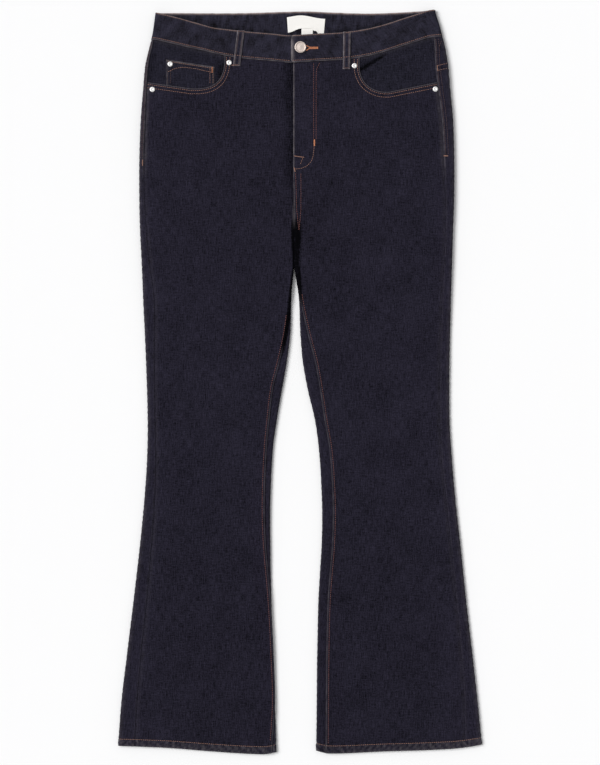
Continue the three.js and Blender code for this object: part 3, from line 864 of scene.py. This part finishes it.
def band_half(half, up, front_end, sink):
    """One half of the band, from its front end out to the fold and back to the centre back."""
    fold = section(half, half.waist + up, BAND_HEIGHT)
    fold.turn, fold.top, fold.bottom = 0 * up, -60 + 0 * up, 0 * up
    front = fold.outer - fold.radius - front_end
    t = spread(-fold.quarter - front, [
        (0.4, 0.4, 1), (0.8, 0.8, 1), (3, 3, 3), (front - 4.2, 0, 76), (2 * fold.quarter, 0, 14),
        (fold.outer - fold.radius - 1.2, 0, 70), (1.2, 0.1, 1),
    ])
    on_front, behind = t < 0, t > fold.quarter

    def surface_at(out):
        return on_face(fold, on_front, np.abs(t), out, sink)

    x, y = plan(on_face(fold, on_front, np.abs(t), 0))
    from_end = t - t[:, :1]
    near_edge = np.minimum(up + 0.9, BAND_WIDTH - up)
    ending = ramp(np.minimum(near_edge, from_end), 0, 1.1)
    round_off = 0.95 * (1 - np.sqrt(1 - (1 - ending) ** 2))
    face = 0.16 * wander(x, y, 22, 71) + 0.1 * wander(x, y, 9, 72) - 0.25 * bell(up - 2.2, 0.8) * on_front
    face = face + 0.18 * roping(x, y, 8, 73) * bell(near_edge, 3)
    face = face + 0.6 * crease(x, y, (72, 464), (54, 492), 4, 0.5)
    for at, height, width in BAND_CREASES:
        upright = bell(x - at - 0.06 * (y - 515), width) * smooth(up, 2, 14)
        face = face - 2.2 * height * upright * behind
    face = np.where(on_front, face, np.minimum(face, 0.9))
    lower_edge = 0.85 * (1 - smooth(up, 0.4, 4)) * on_front
    run = (t - t[:, -1:]) * -half.sign
    worn = np.where(t < fold.quarter, 0.36, 1.4) * bell(BAND_WIDTH - up, 1.8) + 0.32 * bell(up + 0.6, 1.2)
    worn = worn + 0.55 * bell(from_end - 1.2, 2.4) * on_front
    # inside of the back band: uneven mottling, and painted shadow below the front band's top edge
    inside = 1.1 * wander(x, y, 3.5, 77, stretch=4)
    inside = inside - 1.8 * (1 - smooth(y - read(FRONT_TOP, "height", x), 0, 11))
    shading = 0.3 + 0.9 * wander(x, y, 11, 76) + 0.6 * wander(x, y, 4, 78, stretch=2)
    return {
        "outer": surface_at(face - round_off),
        "inner": surface_at(face - 1.9 + round_off + lower_edge),
        "uv": np.stack([run, up + 0 * run], axis=-1),
        "wear": (0.75 + 0.25 * wander(x, y, 6, 74)) * worn + 0.01,
        "tone": shading + behind * inside,
    }


def waistband():
    """One strip, from its hidden end under the overlap, right round to its end at the button."""
    up = column(np.concatenate([
        [-0.9, -0.75, -0.3, 0.4, 1.3, 2.2, 3.1, 4.2], np.linspace(6, 34.5, 13),
        [36, 37, 37.8, 38.4, 38.8, 39],
    ]))
    radius = 4.5  # of the overlap's corners
    into_corner = np.clip(radius - np.minimum(up + 0.9, BAND_WIDTH - up), 0, radius)
    corner = radius - np.sqrt(np.clip(radius**2 - into_corner**2, 0, None))
    right = band_half(RIGHT, up, -OVERLAP.under + 0 * up, lambda x, y: OVERLAP.dip * smooth(x, -52, -16))
    left = band_half(LEFT, up, OVERLAP.end + corner, lambda x, y: -OVERLAP.lift * smooth(x, 67, 25))
    return shell(**{
        name: np.concatenate([right[name], left[name][:, ::-1][:, 1:]], axis=1) for name in right
    })


# Middle of each belt loop's upper and lower end.
LOOPS = {
    "front_right": ((-85.5, 507.5), (-91.8, 456)),
    "front_left": ((68, 505.5), (67.2, 451.5)),
    "back_right": ((-106, 532), (-106, 488)),
    "back_centre": ((0, 534), (0, 490)),
    "back_left": ((106, 531), (106, 487)),
}


def belt_loop(name):
    """A narrow folded strip with felled edges, standing a little off the band between its two ends."""
    top, bottom = LOOPS[name]
    u, v = np.meshgrid(eased(18), eased(44))
    x = lerp(bottom[0], top[0], v) + (u - 0.5) * LOOP_WIDTH
    y = lerp(bottom[1], top[1], v)
    side, length = np.abs(2 * u - 1), top[1] - bottom[1]
    from_end = np.minimum(v, 1 - v) * length
    ridge = 0.18 * bell(side - 0.72, 0.16) - 0.12 * bell(side, 0.25)
    ridge = ridge + 0.06 * wander(x, y, 4, 81, stretch=3)
    worn = 0.6 * bell(side - 0.93, 0.12) + 0.22 * bell(side - 0.6, 0.2) + 0.3 * bell(from_end, 2)
    worn = worn * (0.75 + 0.25 * wander(x, y, 5, 82))
    if name.startswith("back"):
        return flat_patch(x, y, 1.12 + 0 * x, 1.0 + 0.3 * (ridge - 0.1), wear=worn, tone=0.2 + 0 * x)
    level = 9.75 + 0.75 * smooth(from_end, 1, 12) - 0.35 * (1 - smooth(from_end, 0, 1.5)) + ridge
    level = level - 0.45 * (1 - smooth((1 - side) * LOOP_WIDTH / 2, 0, 0.9))
    if name == "front_left":
        level = level + 0.5  # over the band's lifted overlap
    return flat_patch(x, y, level, 1.0, wear=worn, tone=0.8 + 0.5 * wander(x, y, 4, 85))


def label():
    """The blank woven label on the inside of the back band, its free corner curling up."""
    u, v = np.meshgrid(eased(44), eased(30))
    x = lerp(-18.9 + 1.5 * (1 - v), 36.5 - 2.2 * (1 - v), u)
    top = 525.8 + 4.2 * bell(x - 1, 19) - 0.9 * smooth(x, 15, 36)
    bottom = 505 + 6 * smooth(x, -17, 2) - 3.5 * smooth(x, 16, 21) - 6 * smooth(x, 23, 28)
    y = lerp(bottom, top, v)
    curl = 0.7 * bell(np.hypot(x + 19, y - 505), 9) + 0.5 * bell(y - bottom, 3.5) * (x < 27)
    level = 4.25 + curl + 0.08 * wander(x, y, 12, 83)
    return flat_patch(x, y, level, 0.3, tone=0 * x, wear=0 * x)


def label_tab():
    """The blank tab below the label, with a fold where it comes out from under it."""
    u, v = np.meshgrid(eased(16), eased(24))
    x, y = lerp(2.2, 18.6, u), lerp(485, 512, v)
    level = 4.15 + 0.5 * smooth(y, 503, 509) * (1 - smooth(y, 510, 512)) + 0.05 * wander(x, y, 8, 84)
    return flat_patch(x, y, level - 0.35 * smooth(y, 509, 512), 0.28, tone=0 * x, wear=0 * x)


# ---- hard pieces ----


def turned(profile, sides, at, texture=None):
    """A form turned about the vertical at a point; texture(x, y, radius, height) raises it."""
    profile = np.array(profile, float)
    radius, z = profile[:, :1], profile[:, 1:] + np.zeros(sides)
    x, y = radius * np.cos(circle(sides)), radius * np.sin(circle(sides))
    if texture:
        z = z + texture(x, y, radius, profile[:, 1:])
    points = np.stack([x, y, z], axis=-1).reshape(-1, 3) + at
    ids = numbered(x.shape)
    faces = np.concatenate([ring_faces(ids), cap(ids[0])[:, ::-1], cap(ids[-1])])
    return SimpleNamespace(points=points, faces=faces, uv=points[:, :2] - at[:2], values={})


def node_base(name):
    """The middle of a node's lower face, on the pattern."""
    low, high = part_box(name)
    return np.array([(low.x + high.x) / 2, (low.y + high.y) / 2, low.z]) / MM - SHIFT


def button_head():
    dish = 6.1  # radius of the sunk middle of the face
    profile = [
        (0.02, 0), (2.3, 0), (2.4, 0.1), (2.4, 2.2), (2.6, 2.35), (7.3, 2.3), (8.0, 2.55), (8.4, 3.0),
        (8.5, 3.6), (8.35, 4.2), (7.95, 4.65), (7.4, 4.85), (6.95, 4.75), (6.6, 4.4), (6.35, 3.95),
        (6.2, 3.78), *((r, 3.75 + 0.25 * bell(r, 3)) for r in np.linspace(6.0, 0.02, 18)),
    ]

    def hammered(x, y, radius, height):
        in_dish = (radius < dish) & (height > 3)
        return 0.035 * wander(x, y, 0.7, 91) * in_dish * smooth(dish - radius, 0, 0.8)

    return turned(profile, 72, node_base("button"), hammered)


RIVET_PROFILE = [
    (0.02, 0), (3.3, 0), (3.65, 0.15), (3.8, 0.5), (3.78, 0.9), (3.62, 1.25), (3.3, 1.5), (2.7, 1.64),
    (1.9, 1.7), (1.4, 1.66), (1.2, 1.4), (1.1, 1.0), (0.95, 0.75), (0.5, 0.68), (0.02, 0.68),
]

# ---- materials ----


class Graph:
    """A few node helpers, so that a material reads as a formula."""

    def __init__(self, name):
        self.material = bpy.data.materials.new(name)
        self.material.use_nodes = True
        tree = self.material.node_tree
        self.nodes, self.links, self.shader = tree.nodes, tree.links, tree.nodes["Principled BSDF"]

    def feed(self, node, sources):
        """Links each named input of a node, or sets its own value."""
        for name, source in sources.items():
            if isinstance(source, bpy.types.NodeSocket):
                self.links.new(source, node.inputs[name])
            else:
                node.inputs[name].default_value = source
        return node

    def add(self, kind, sources, **settings):
        node = self.nodes.new(kind)
        for key, value in settings.items():
            setattr(node, key, value)
        return self.feed(node, sources)

    def math(self, operation, *sources, clamp=False):
        settings = {"operation": operation, "use_clamp": clamp}
        return self.add("ShaderNodeMath", dict(enumerate(sources)), **settings).outputs[0]

    def times(self, a, b, **settings):
        return self.math("MULTIPLY", a, b, **settings)

    def field(self, name):
        return self.add("ShaderNodeAttribute", {}, attribute_name=name).outputs["Fac"]

    def mapped(self, vector, scale):
        return self.add("ShaderNodeMapping", {"Vector": vector, "Scale": scale}).outputs[0]

    def pattern(self, across, along):
        """The pattern map in features `across` and `along` the cloth, given in millimetres."""
        uv = self.add("ShaderNodeUVMap", {}, uv_map="pattern").outputs[0]
        return self.mapped(uv, (1 / (across * MM), 1 / (along * MM), 1))

    def noise(self, across, along, detail=2.0):
        sources = {"Vector": self.pattern(across, along), "Scale": 1.0, "Detail": detail}
        return self.add("ShaderNodeTexNoise", sources).outputs["Fac"]

    def wave(self, vector, scale, direction="DIAGONAL", **sources):
        sources = {"Vector": vector, "Scale": scale, **sources}
        node = self.add("ShaderNodeTexWave", sources, wave_type="BANDS", bands_direction=direction)
        return node.outputs["Fac"]

    def mix(self, share, a, b):
        node = self.add("ShaderNodeMix", {}, data_type="RGBA")
        return self.feed(node, {"Factor": share, "A": a, "B": b}).outputs["Result"]

    def finish(self, colour, height, depth, roughness, settings=None):
        """The shader's colour and bump, and its settings, each on the shader's own socket."""
        sources = {"Height": height, "Strength": 1.0, "Distance": depth * MM}
        bump = self.add("ShaderNodeBump", sources).outputs[0]
        surface = {"Base Color": colour, "Normal": bump, "Roughness": roughness}
        self.feed(self.shader, {**surface, **(settings or {})})
        return self.material


def linear(red, green, blue):
    """A colour given as it is seen on a screen, 0 to 255."""
    values = [c / 255 for c in (red, green, blue)]
    return (*(v / 12.92 if v <= 0.04045 else ((v + 0.055) / 1.055) ** 2.4 for v in values), 1)


def scaled(colour, share):
    return (*(c * share for c in colour[:3]), 1)


def denim(name, colour, worn, mottle):
    """Black-blue stretch denim: a steep twill with slubs along the warp, uneven dye and worn edges, and
    painted shade brought in by the tone field.
    """
    g = Graph(name)
    weave = g.wave(g.pattern(0.55, 0.95), 0.44, Distortion=0.6, Detail=1.0)
    slub, cross, grain = g.noise(1.1, 14, 3), g.noise(11, 1.1), g.noise(1.6, 2.4)
    cloud = g.noise(26, 40, 3)
    level = 1.0
    for part, strength in ((slub, 2.3), (cross, 1.6), (grain, 1.8), (cloud, mottle), (weave, 0.5)):
        level = g.math("MULTIPLY_ADD", g.math("SUBTRACT", part, 0.5), strength, level)
    # the tone field: uneven tone, and painted shade in the valley, beside the fly, in the pocket facings
    # and inside the back band
    level = g.math("MULTIPLY_ADD", g.field("tone"), 0.2, level)
    dye_and_painted_shade = g.mix(g.math("MAXIMUM", g.times(level, 0.5), 0.04), (0, 0, 0, 1), scaled(colour, 2.0))
    lint = g.math("ADD", g.times(grain, 0.8), g.times(slub, 0.9))
    rubbed = g.times(g.field("wear"), lint, clamp=True)
    height = g.math("ADD", g.times(weave, 0.5), g.math("ADD", slub, g.times(grain, 0.8)))
    return g.finish(g.mix(rubbed, dye_and_painted_shade, worn), height, 0.12, g.math("MULTIPLY_ADD", slub, 0.1, 0.82), {
        "Sheen Weight": 0.03, "Sheen Roughness": 0.5, "Sheen Tint": linear(110, 112, 150),
        "Specular IOR Level": 0.03,
    })


def thread(name, colour):
    """Twisted sewing thread with a soft shine."""
    g = Graph(name)
    ply = g.wave(g.pattern(0.3, 0.3), 0.3)
    share = g.math("ADD", g.times(ply, 0.4), g.times(g.noise(3, 3), 0.6))
    coloured = g.mix(share, scaled(colour, 0.7), scaled(colour, 1.3))
    return g.finish(coloured, ply, 0.06, 0.6, {"Specular IOR Level": 0.3})


def woven_label():
    """Smooth white satin ribbon."""
    g = Graph("label_satin")
    ribs = g.wave(g.pattern(0.5, 0.5), 0.3, "Y")
    share = g.times(g.math("ADD", ribs, g.noise(0.4, 5)), 0.5)
    coloured = g.mix(share, linear(238, 235, 230), linear(247, 245, 241))
    return g.finish(coloured, share, 0.04, 0.5, {"Sheen Weight": 0.1})


def metal(name, colour, rough, scale, metallic=1.0):
    """Plated metal, slightly cloudy, with fine scratches."""
    g = Graph(name)
    cloud, fine = g.noise(scale, scale, 4), g.noise(scale * 0.25, scale * 0.6, 3)
    roughness = g.math("MULTIPLY_ADD", cloud, 0.2, rough - 0.1)
    coloured = g.mix(cloud, scaled(colour, 0.86), colour)
    return g.finish(coloured, fine, 0.03, roughness, {"Metallic": metallic})


def zip_tape():
    g = Graph("zip_tape")
    place_on_object = g.add("ShaderNodeTexCoord", {}).outputs["Object"]
    weave = g.wave(g.mapped(place_on_object, (1 / MM, 1 / MM, 1 / MM)), 0.4)
    return g.finish(g.mix(weave, linear(26, 27, 40), linear(44, 45, 60)), weave, 0.08, 0.75)


def plain_floor():
    g = Graph("floor")
    place_on_object = g.add("ShaderNodeTexCoord", {}).outputs["Object"]
    grain = g.add("ShaderNodeTexNoise", {"Vector": place_on_object, "Scale": 30}).outputs["Fac"]
    return g.finish(g.mix(grain, (0.93, 0.93, 0.93, 1), (0.935, 0.935, 0.935, 1)), grain, 0.01, 0.9)


# Each material paired with a slot name.
WORN = linear(100, 95, 98)
DENIM = denim("denim", linear(33, 31, 42), WORN, 0.25), "denim"
FACING = denim("denim_facing", linear(32, 31, 41), WORN, 0.3), "denim_facing"
BAND = denim("denim_band", linear(33, 32, 43), linear(162, 153, 154), 1.4), "denim_band"
BROWN = thread("thread_brown", linear(146, 110, 96)), "thread"
RUST = thread("thread_rust", linear(112, 72, 68)), "thread"
ORANGE = thread("thread_orange", linear(196, 128, 92)), "thread"
TONAL = thread("thread_tonal", linear(84, 64, 64)), "thread"
NICKEL = metal("button_nickel", (0.74, 0.645, 0.59, 1), 0.52, 1.2), "button_metal"
CHROME = metal("rivet_chrome", (0.97, 0.96, 0.95, 1), 0.36, 0.8, metallic=0.6), "rivet_metal"
SATIN = woven_label(), "label_cloth"

# ---- the pieces ----

cloth = []


def sew_in(node, form, made_of, ending="_cloth", opening=None, along=()):
    """A cloth piece in place of its CAD node."""
    thing = piece(node + ending, form, *made_of)
    if opening is not None:
        carve(thing, opening)
    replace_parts(thing, node)
    cloth.append(thing)


def mouth_opening(half):
    start, side = MOUTH[half.name][0], MOUTH[half.name][-1]
    clear = half.waist + 14
    return np.concatenate([[(start[0], clear)], mouth_curve(half), [(side[0], clear)]])


for half in HALVES:
    side = half.name
    back_panel_node = f"back_panel_{side}"
    sew_in(
        f"front_panel_{side}", front_panel(half), DENIM,
        opening=mouth_opening(half),
        along=[piece(f"pocket_mouth_{side}", mouth_bead(half), *DENIM)],
    )
    sew_in(back_panel_node, back_panel(half), DENIM)
    sew_in(f"back_yoke_{side}", back_yoke(half), DENIM)
    sew_in(f"pocket_facing_{side}", pocket_facing(half), FACING)
    sew_in(f"back_pocket_{side}", back_pocket(half), DENIM)

sew_in("coin_pocket", coin_pocket(), FACING)
sew_in("fly_shield", fly_shield(), FACING)
sew_in("waistband", waistband(), BAND)
for name, (top, bottom) in LOOPS.items():
    sew_in(f"belt_loop_{name}", belt_loop(name), BAND)
sew_in("label", label(), SATIN, "_blank")
sew_in("label_tab", label_tab(), SATIN, "_blank")

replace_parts(piece("button_head", button_head(), *NICKEL, sharp=40), "button")
for name in ("coin_pocket", "right_top", "right_side", "left_top", "left_side"):
    form = turned(RIVET_PROFILE, 40, node_base("rivet_" + name))
    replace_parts(piece(f"rivet_{name}_head", form, *CHROME, sharp=60), "rivet_" + name)
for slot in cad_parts["zip"].material_slots:
    slot.material = zip_tape()

# ---- stitching ----

# Where a look at the cloth starts, in height, and which way it goes.
ABOVE, BELOW = (60, -1), (-30, 1)
STEP = 0.9  # a greater step in height ends a row of stitches


def bring_together(things):
    """A tree of all the cloth, in the pattern's millimetres, that says where its surface is."""
    points, faces, count = [], [], 0
    for thing in things:
        co = np.empty(len(thing.data.vertices) * 3)
        thing.data.vertices.foreach_get("co", co)
        points += (co.reshape(-1, 3) / MM - SHIFT).tolist()
        faces += [[v + count for v in face.vertices] for face in thing.data.polygons]
        count = len(points)
    return BVHTree.FromPolygons(points, faces)


surface = bring_together(cloth)


def on_surface(path, look):
    """Stretches of a plan path on the cloth, as points and normals; a step in height ends one."""
    stretches, current = [], []
    for x, y in path:
        hit, normal, _, _ = surface.ray_cast(Vector((x, y, look[0])), Vector((0, 0, look[1])))
        if hit is None or (current and abs(hit.z - current[-1][0].z) > STEP):
            stretches.append(current)
            current = []
        if hit is not None:
            current.append((hit, normal))
    stretches.append(current)
    return [np.array(run).swapaxes(0, 1) for run in stretches if len(run) > 3]


def strands(start, end, normal, radius, rise):
    """Short six-sided threads, each dipping into the cloth at both ends."""
    share = np.array([0, 0.13, 0.5, 0.87, 1.0])
    width = np.array([0.4, 0.9, 1.0, 0.9, 0.4]) * radius
    height = np.array([-0.5, 0.25, 1.0, 0.25, -0.5]) * rise
    ahead = end - start
    across = np.cross(ahead, normal)
    across /= np.linalg.norm(across, axis=1, keepdims=True)
    angle = circle(6)
    middle = start[:, None] + share[:, None] * ahead[:, None] + height[:, None] * normal[:, None]
    ring = np.cos(angle)[:, None] * across[:, None, None] + np.sin(angle)[:, None] * normal[:, None, None]
    points = middle[:, :, None] + width[:, None, None] * ring
    shape = points.shape[:3]
    ids = numbered(shape)
    halves = ([0, 1, 2, 3], [0, 3, 4, 5])  # of the six-sided end
    caps = [ids[:, 0][:, half[::-1]] for half in halves] + [ids[:, -1][:, half] for half in halves]
    shift = np.arange(len(start))[:, None, None] * 1.7  # so that the threads differ in tint
    along = share[None, :, None] * 3 + shift + np.zeros(shape)
    return SimpleNamespace(
        points=points.reshape(-1, 3), faces=np.concatenate([ring_faces(ids), *caps]),
        uv=np.stack([(angle * radius + np.zeros(shape)).ravel(), along.ravel()], axis=-1), values={},
    )


PITCH = 3.1  # from stitch to stitch
sewn = {}


def sew(book, path, look=ABOVE, radius=0.36, share=0.8, seed=0):
    """A row of stitches along a plan path."""
    for points, normals in on_surface(resample(path, 0.8), look):
        run = distances(points)
        count = int(run[-1] / PITCH)
        if count < 1:
            continue
        rng = np.random.default_rng(seed + count)
        centre = (np.arange(count) + 0.5) * run[-1] / count + rng.uniform(-0.12, 0.12, count)
        reach = PITCH * share / 2
        normal = at_run(centre, run, normals)
        aside = rng.uniform(-0.07, 0.07, (count, 1)) * np.cross(normal, (0, 1, 0))
        start = at_run(centre - reach, run, points) + aside
        end = at_run(centre + reach, run, points) - aside
        rise = radius * (0.7 if look is ABOVE else -0.2)  # pressed in where the garment lies on it
        sewn.setdefault(book, []).append(strands(start, end, normal, radius, rise))


def tack(book, start, end, width, look=ABOVE, radius=0.34, step=0.5):
    """A bar tack: close strands lying across a short line."""
    start, end = np.array(start, float), np.array(end, float)
    along = (end - start) / np.linalg.norm(end - start)
    side = np.array([along[1], -along[0]])
    for points, normals in on_surface(resample([start, end], step), look):
        reach = np.append(side * width / 2, 0) + np.append(along * 0.15, 0)
        rise = radius * (1.3 if look is ABOVE else 0)
        sewn.setdefault(book, []).append(strands(points - reach, points + reach, normals, radius, rise))


def seam_path(half, rows, which, beyond):
    """A plan path `beyond` a seam, towards the middle of the front."""
    row = column(rows)
    fold = section(half, row, body_height(row))
    if which == "side":
        a = fold.outer - np.maximum(seam_inset(OUTER, half, row) - beyond, 0.5)
    else:
        a = edge_at(INNER, half, row) + seam_inset(INNER, half, row) + beyond
    return np.column_stack([half.sign * a, row_height(fold, True, a)])


def sew_front():
    for half in HALVES:
        front, back = "topstitch_front_" + half.name, "topstitch_back_" + half.name
        mouth = resample(mouth_curve(half, above=30), 1.5)
        mouth = mouth[mouth[:, 1] < waist_height(mouth[:, 0]) - 1]
        mouth = mouth[np.abs(mouth[:, 0]) < side_seam(half, mouth[:, 1]) - 1.5]
        for k, distance in enumerate((2.3, 7.0)):
            row = offset(mouth, half.sign * distance)
            sew(front, row[row[:, 1] < waist_height(row[:, 0]) - 1], seed=10 + k)
        inseam = np.arange(96 if half is RIGHT else 126, half.hem + HEM_WIDTH, -8.0)
        sew("topstitch_inseams", seam_path(half, inseam, "inside", 2.9), seed=20, radius=0.5, share=0.66)
        fold = section(half, column(np.full(60, half.hem + HEM_WIDTH)), LEG_HEIGHT)
        a = lerp(fold.outer - 0.6, fold.top - fold.radius + 0.6, column(np.linspace(0, 1, 60)))
        for book, on_top, look, seed in ((front, True, ABOVE, 30), (back, False, BELOW, 31)):
            sew(book, np.column_stack([half.sign * a, row_height(fold, on_top, a)]), look, seed=seed)
    for half, rows, pair, seed in (
        (LEFT, np.arange(496, 324, -6.0), (1.9, 5.6), 40),
        (RIGHT, np.arange(490, 316, -6.0), (1.2, 3.2), 41),
    ):
        for distance in pair:
            sew("topstitch_sides", seam_path(half, rows, "side", distance), seed=seed, radius=0.33)
    sew("topstitch_sides", [(205, 493), (201.5, 484)], seed=42)
    for row in ([(198.5, 456.5), (213.5, 460)], [(199.5, 449.5), (214.5, 453.2)]):
        sew("topstitch_yoke_end", row, seed=43)
    tack("topstitch_yoke_end", (198.8, 456.8), (199.4, 449.4), 1.3)


# Rows of the fly and the rise.
FLY_ROWS = [
    ("topstitch_rise", 50, [(29, 461), (24.2, 452), (23.4, 440), (23.4, 350)]),
    ("topstitch_rise", 55, [(19.7, 460), (19.8, 350)]),
    ("topstitch_fly", 51, [
        (19.8, 345), (20.4, 337), (18.9, 325.2), (16.8, 319), (13.8, 315), (9.8, 311), (3, 308.2),
        (-3.6, 307), (-9, 306.9),
    ]),
    ("topstitch_rise", 52, [(-6.4, 301), (-5.6, 280), (-4.8, 248), (-2.6, 228), (-1.4, 218)]),
    ("topstitch_rise", 53, [(1.3, 301), (1.4, 280), (1.3, 248), (-0.2, 230), (-1.2, 219)]),
    ("topstitch_fly", 54, [(4.1, 323), (0.6, 314)]),
]


def sew_fly():
    for book, seed, path in FLY_ROWS:
        sew(book, path, seed=seed)


def sew_coin_pocket():
    book = "topstitch_coin_pocket"
    slope = (COIN.top[1] - COIN.top[0]) / (COIN.right - COIN.left)

    def top_at(x):
        return COIN.top[0] + slope * (x - COIN.left)

    ends = [(COIN.left + 2, top_at(COIN.left) - 2.6), (COIN.right - 2, top_at(COIN.right) - 2.4)]
    sew(book, ends, seed=60)
    sew(book, [
        (-191.4, 447.8), (-183.5, 451.6), (-176.5, 453.7), (-167.3, 454.5), (-148.8, 451.9), (-128, 447),
    ], seed=61)
    for inset in (2, 6.4):
        for x, yarn, below in ((COIN.left + inset, "topstitch_tonal", 15), (COIN.right - inset, book, 3)):
            sew(yarn, [(x, top_at(x) - below), (x, 431)], seed=62, radius=0.3)


def sew_waist():
    for half, start, end in ((RIGHT, -14.5, -218), (LEFT, OVERLAP.end + 2.4, 212)):
        x = np.linspace(start, end, 110)
        for up in (2.2, 37.7):
            height = lerp(waist_height(x), read(FRONT_TOP, "height", x), up / BAND_WIDTH)
            sew("topstitch_waist", np.column_stack([x, height]), seed=70 + half.sign)
        back = half.sign * np.linspace(0, 206, 110)
        height = read(BACK_TOP, "height", back) - BAND_WIDTH
        for up in (2.2, 37.6):
            sew("topstitch_waist_back", np.column_stack([back, height + up]), BELOW, seed=73 + half.sign)
        sew("topstitch_waist", np.column_stack([back, height + 37.5]), seed=76 + half.sign)


def sew_back():
    size = BACK_POCKET
    for half in HALVES:
        book = "topstitch_back_" + half.name
        for inset in (2.2, 8.0):
            across, down = inset / size.width, 1 - inset / (size.length + size.point)
            corners = ((across, 0), (across, down), (0.5, down), (1 - across, down), (1 - across, 0))
            sew(book, [pocket_place(half, u, v) for u, v in corners], BELOW, seed=80)
        mouth = ((0.02, 0.125), (0.5, 0.115), (0.98, 0.125))
        sew(book, [pocket_place(half, u, v) for u, v in mouth], BELOW, seed=81)
        a = np.linspace(3, 205, 80)
        for up in (2, 6.5):
            height = YOKE.side - yoke_drop(a) + up
            sew(book, np.column_stack([half.sign * a, height]), BELOW, seed=82)
    rows = np.arange(530, 226, -6.0)
    height = rows - YOKE.drop * smooth(rows, 300, YOKE.side)
    for distance in (2.2, 6.6):
        centre = read(CENTRE, "back", rows) + distance
        sew("topstitch_back_left", np.column_stack([centre, height]), BELOW, seed=83)


# Tacks across the ends of rows: start, end, width, and what differs from the usual thread.
TACKS = [
    ("tacks_dark", (-99, 457), (-90, 457.6), 1.4, {"radius": 0.28}),
    ("bar_tacks", (20.9, 349.2), (20.9, 340.4), 2.2, {}),
    ("tacks_dark", (-8.4, 325.8), (5.7, 323.8), 1.3, {"radius": 0.3}),
    ("tacks_dark", (-8.4, 308.6), (-7, 303), 1.6, {"radius": 0.3}),
    ("bar_tacks", (-127.2, 454.6), (-127, 447), 2.6, {"radius": 0.28, "step": 0.9}),
    ("tacks_dark", (208.6, 326), (214, 326), 2.0, {}),
    ("tacks_dark", (-228, 320), (-228, 312), 1.5, {}),
]


def sew_loops_and_tacks():
    for name, (top, bottom) in LOOPS.items():
        look = ABOVE if name.startswith("front") else BELOW
        for aside in (-2.9, 2.9):
            row = [(top[0] + aside, top[1] - 3), (bottom[0] + aside, bottom[1] + 3)]
            sew("topstitch_tonal", row, look, seed=90)
        for x, y in ((top[0], top[1] - 1.6), (bottom[0], bottom[1] + 1.6)):
            tack("topstitch_tonal", (x - 4.2, y), (x + 4.2, y), 1.6, look, radius=0.28)
    for book, start, end, width, settings in TACKS:
        tack(book, start, end, width, **settings)
    for half in HALVES:
        for u in (1.5, BACK_POCKET.width - 1.5):
            x = half.sign * (BACK_POCKET.inner + u)
            tack("bar_tacks", (x, 404), (x, 395), 2.2, BELOW)


def sew_buttonhole():
    """Dense thread round the slit: two arms from under the button that meet in a bar."""
    x, y = BUTTON[0], BUTTON[1] - 0.9
    arm = ((8.4, 3.6), (13, 0.9), (24.6, 0.75))
    for sign in (-1, 1):
        for (along, aside), (along_end, aside_end), width in ((*arm[:2], 1.5), (*arm[1:], 1.6)):
            tack("bar_tacks", (x + along, y + sign * aside), (x + along_end, y + sign * aside_end), width)
    tack("bar_tacks", (x + 25, y - 1.3), (x + 25, y + 1.3), 1.6)


for sew_part in (
    sew_front, sew_fly, sew_coin_pocket, sew_waist, sew_back, sew_loops_and_tacks, sew_buttonhole,
):
    sew_part()
YARNS = {
    "bar_tacks": ORANGE, "topstitch_tonal": TONAL, "topstitch_sides": TONAL,
    "topstitch_inseams": RUST, "topstitch_rise": RUST,
}
for book, forms in sorted(sewn.items()):
    piece(book, join(*forms), *YARNS.get(book, BROWN), sharp=180)

# ---- floor, light and camera ----


def studio():
    """A plain pale floor, a soft grey surround, lighter near the floor, and one broad lamp."""
    reach, count = 12.0, 24
    grid = np.linspace(-reach, reach, count + 1)
    ground = bpy.data.meshes.new("floor")
    faces = grid_faces(numbered((count + 1, count + 1)))
    ground.from_pydata([(x, y, 0.0) for y in grid for x in grid], [], faces.tolist())
    ground.materials.append(plain_floor())
    put("floor", ground)

    world = bpy.data.worlds.new("studio")
    world.use_nodes = True
    nodes, links = world.node_tree.nodes, world.node_tree.links
    coordinates = nodes.new("ShaderNodeTexCoord")
    split = nodes.new("ShaderNodeSeparateXYZ")
    shading = nodes.new("ShaderNodeValToRGB")
    low, high = shading.color_ramp.elements
    low.color = (0.86, 0.86, 0.87, 1)
    high.color, high.position = (0.44, 0.44, 0.445, 1), 0.3
    links.new(coordinates.outputs["Generated"], split.inputs[0])
    links.new(split.outputs["Z"], shading.inputs[0])
    links.new(shading.outputs[0], nodes["Background"].inputs["Color"])
    bpy.context.scene.world = world

    key = bpy.data.lights.new("key", "SUN")
    key.energy, key.angle = 2.55, math.radians(34)
    towards = Vector((0.64, -0.2, -0.74))
    put("key", key).rotation_euler = towards.to_track_quat("-Z", "Y").to_euler()


def camera():
    """Straight above the middle of the garment."""
    distance, seen, sensor = 3.0, 1.10925, 36.0  # `seen` is the longer side of the view, in metres
    data = bpy.data.cameras.new("camera")
    data.lens = sensor * distance / seen
    data.clip_end = 60
    eye = put("camera", data)
    eye.location = (0.0001, -0.0009, 0.004 + distance)
    bpy.context.scene.camera = eye


studio()
camera()
bpy.context.scene.view_settings.view_transform = "Standard"
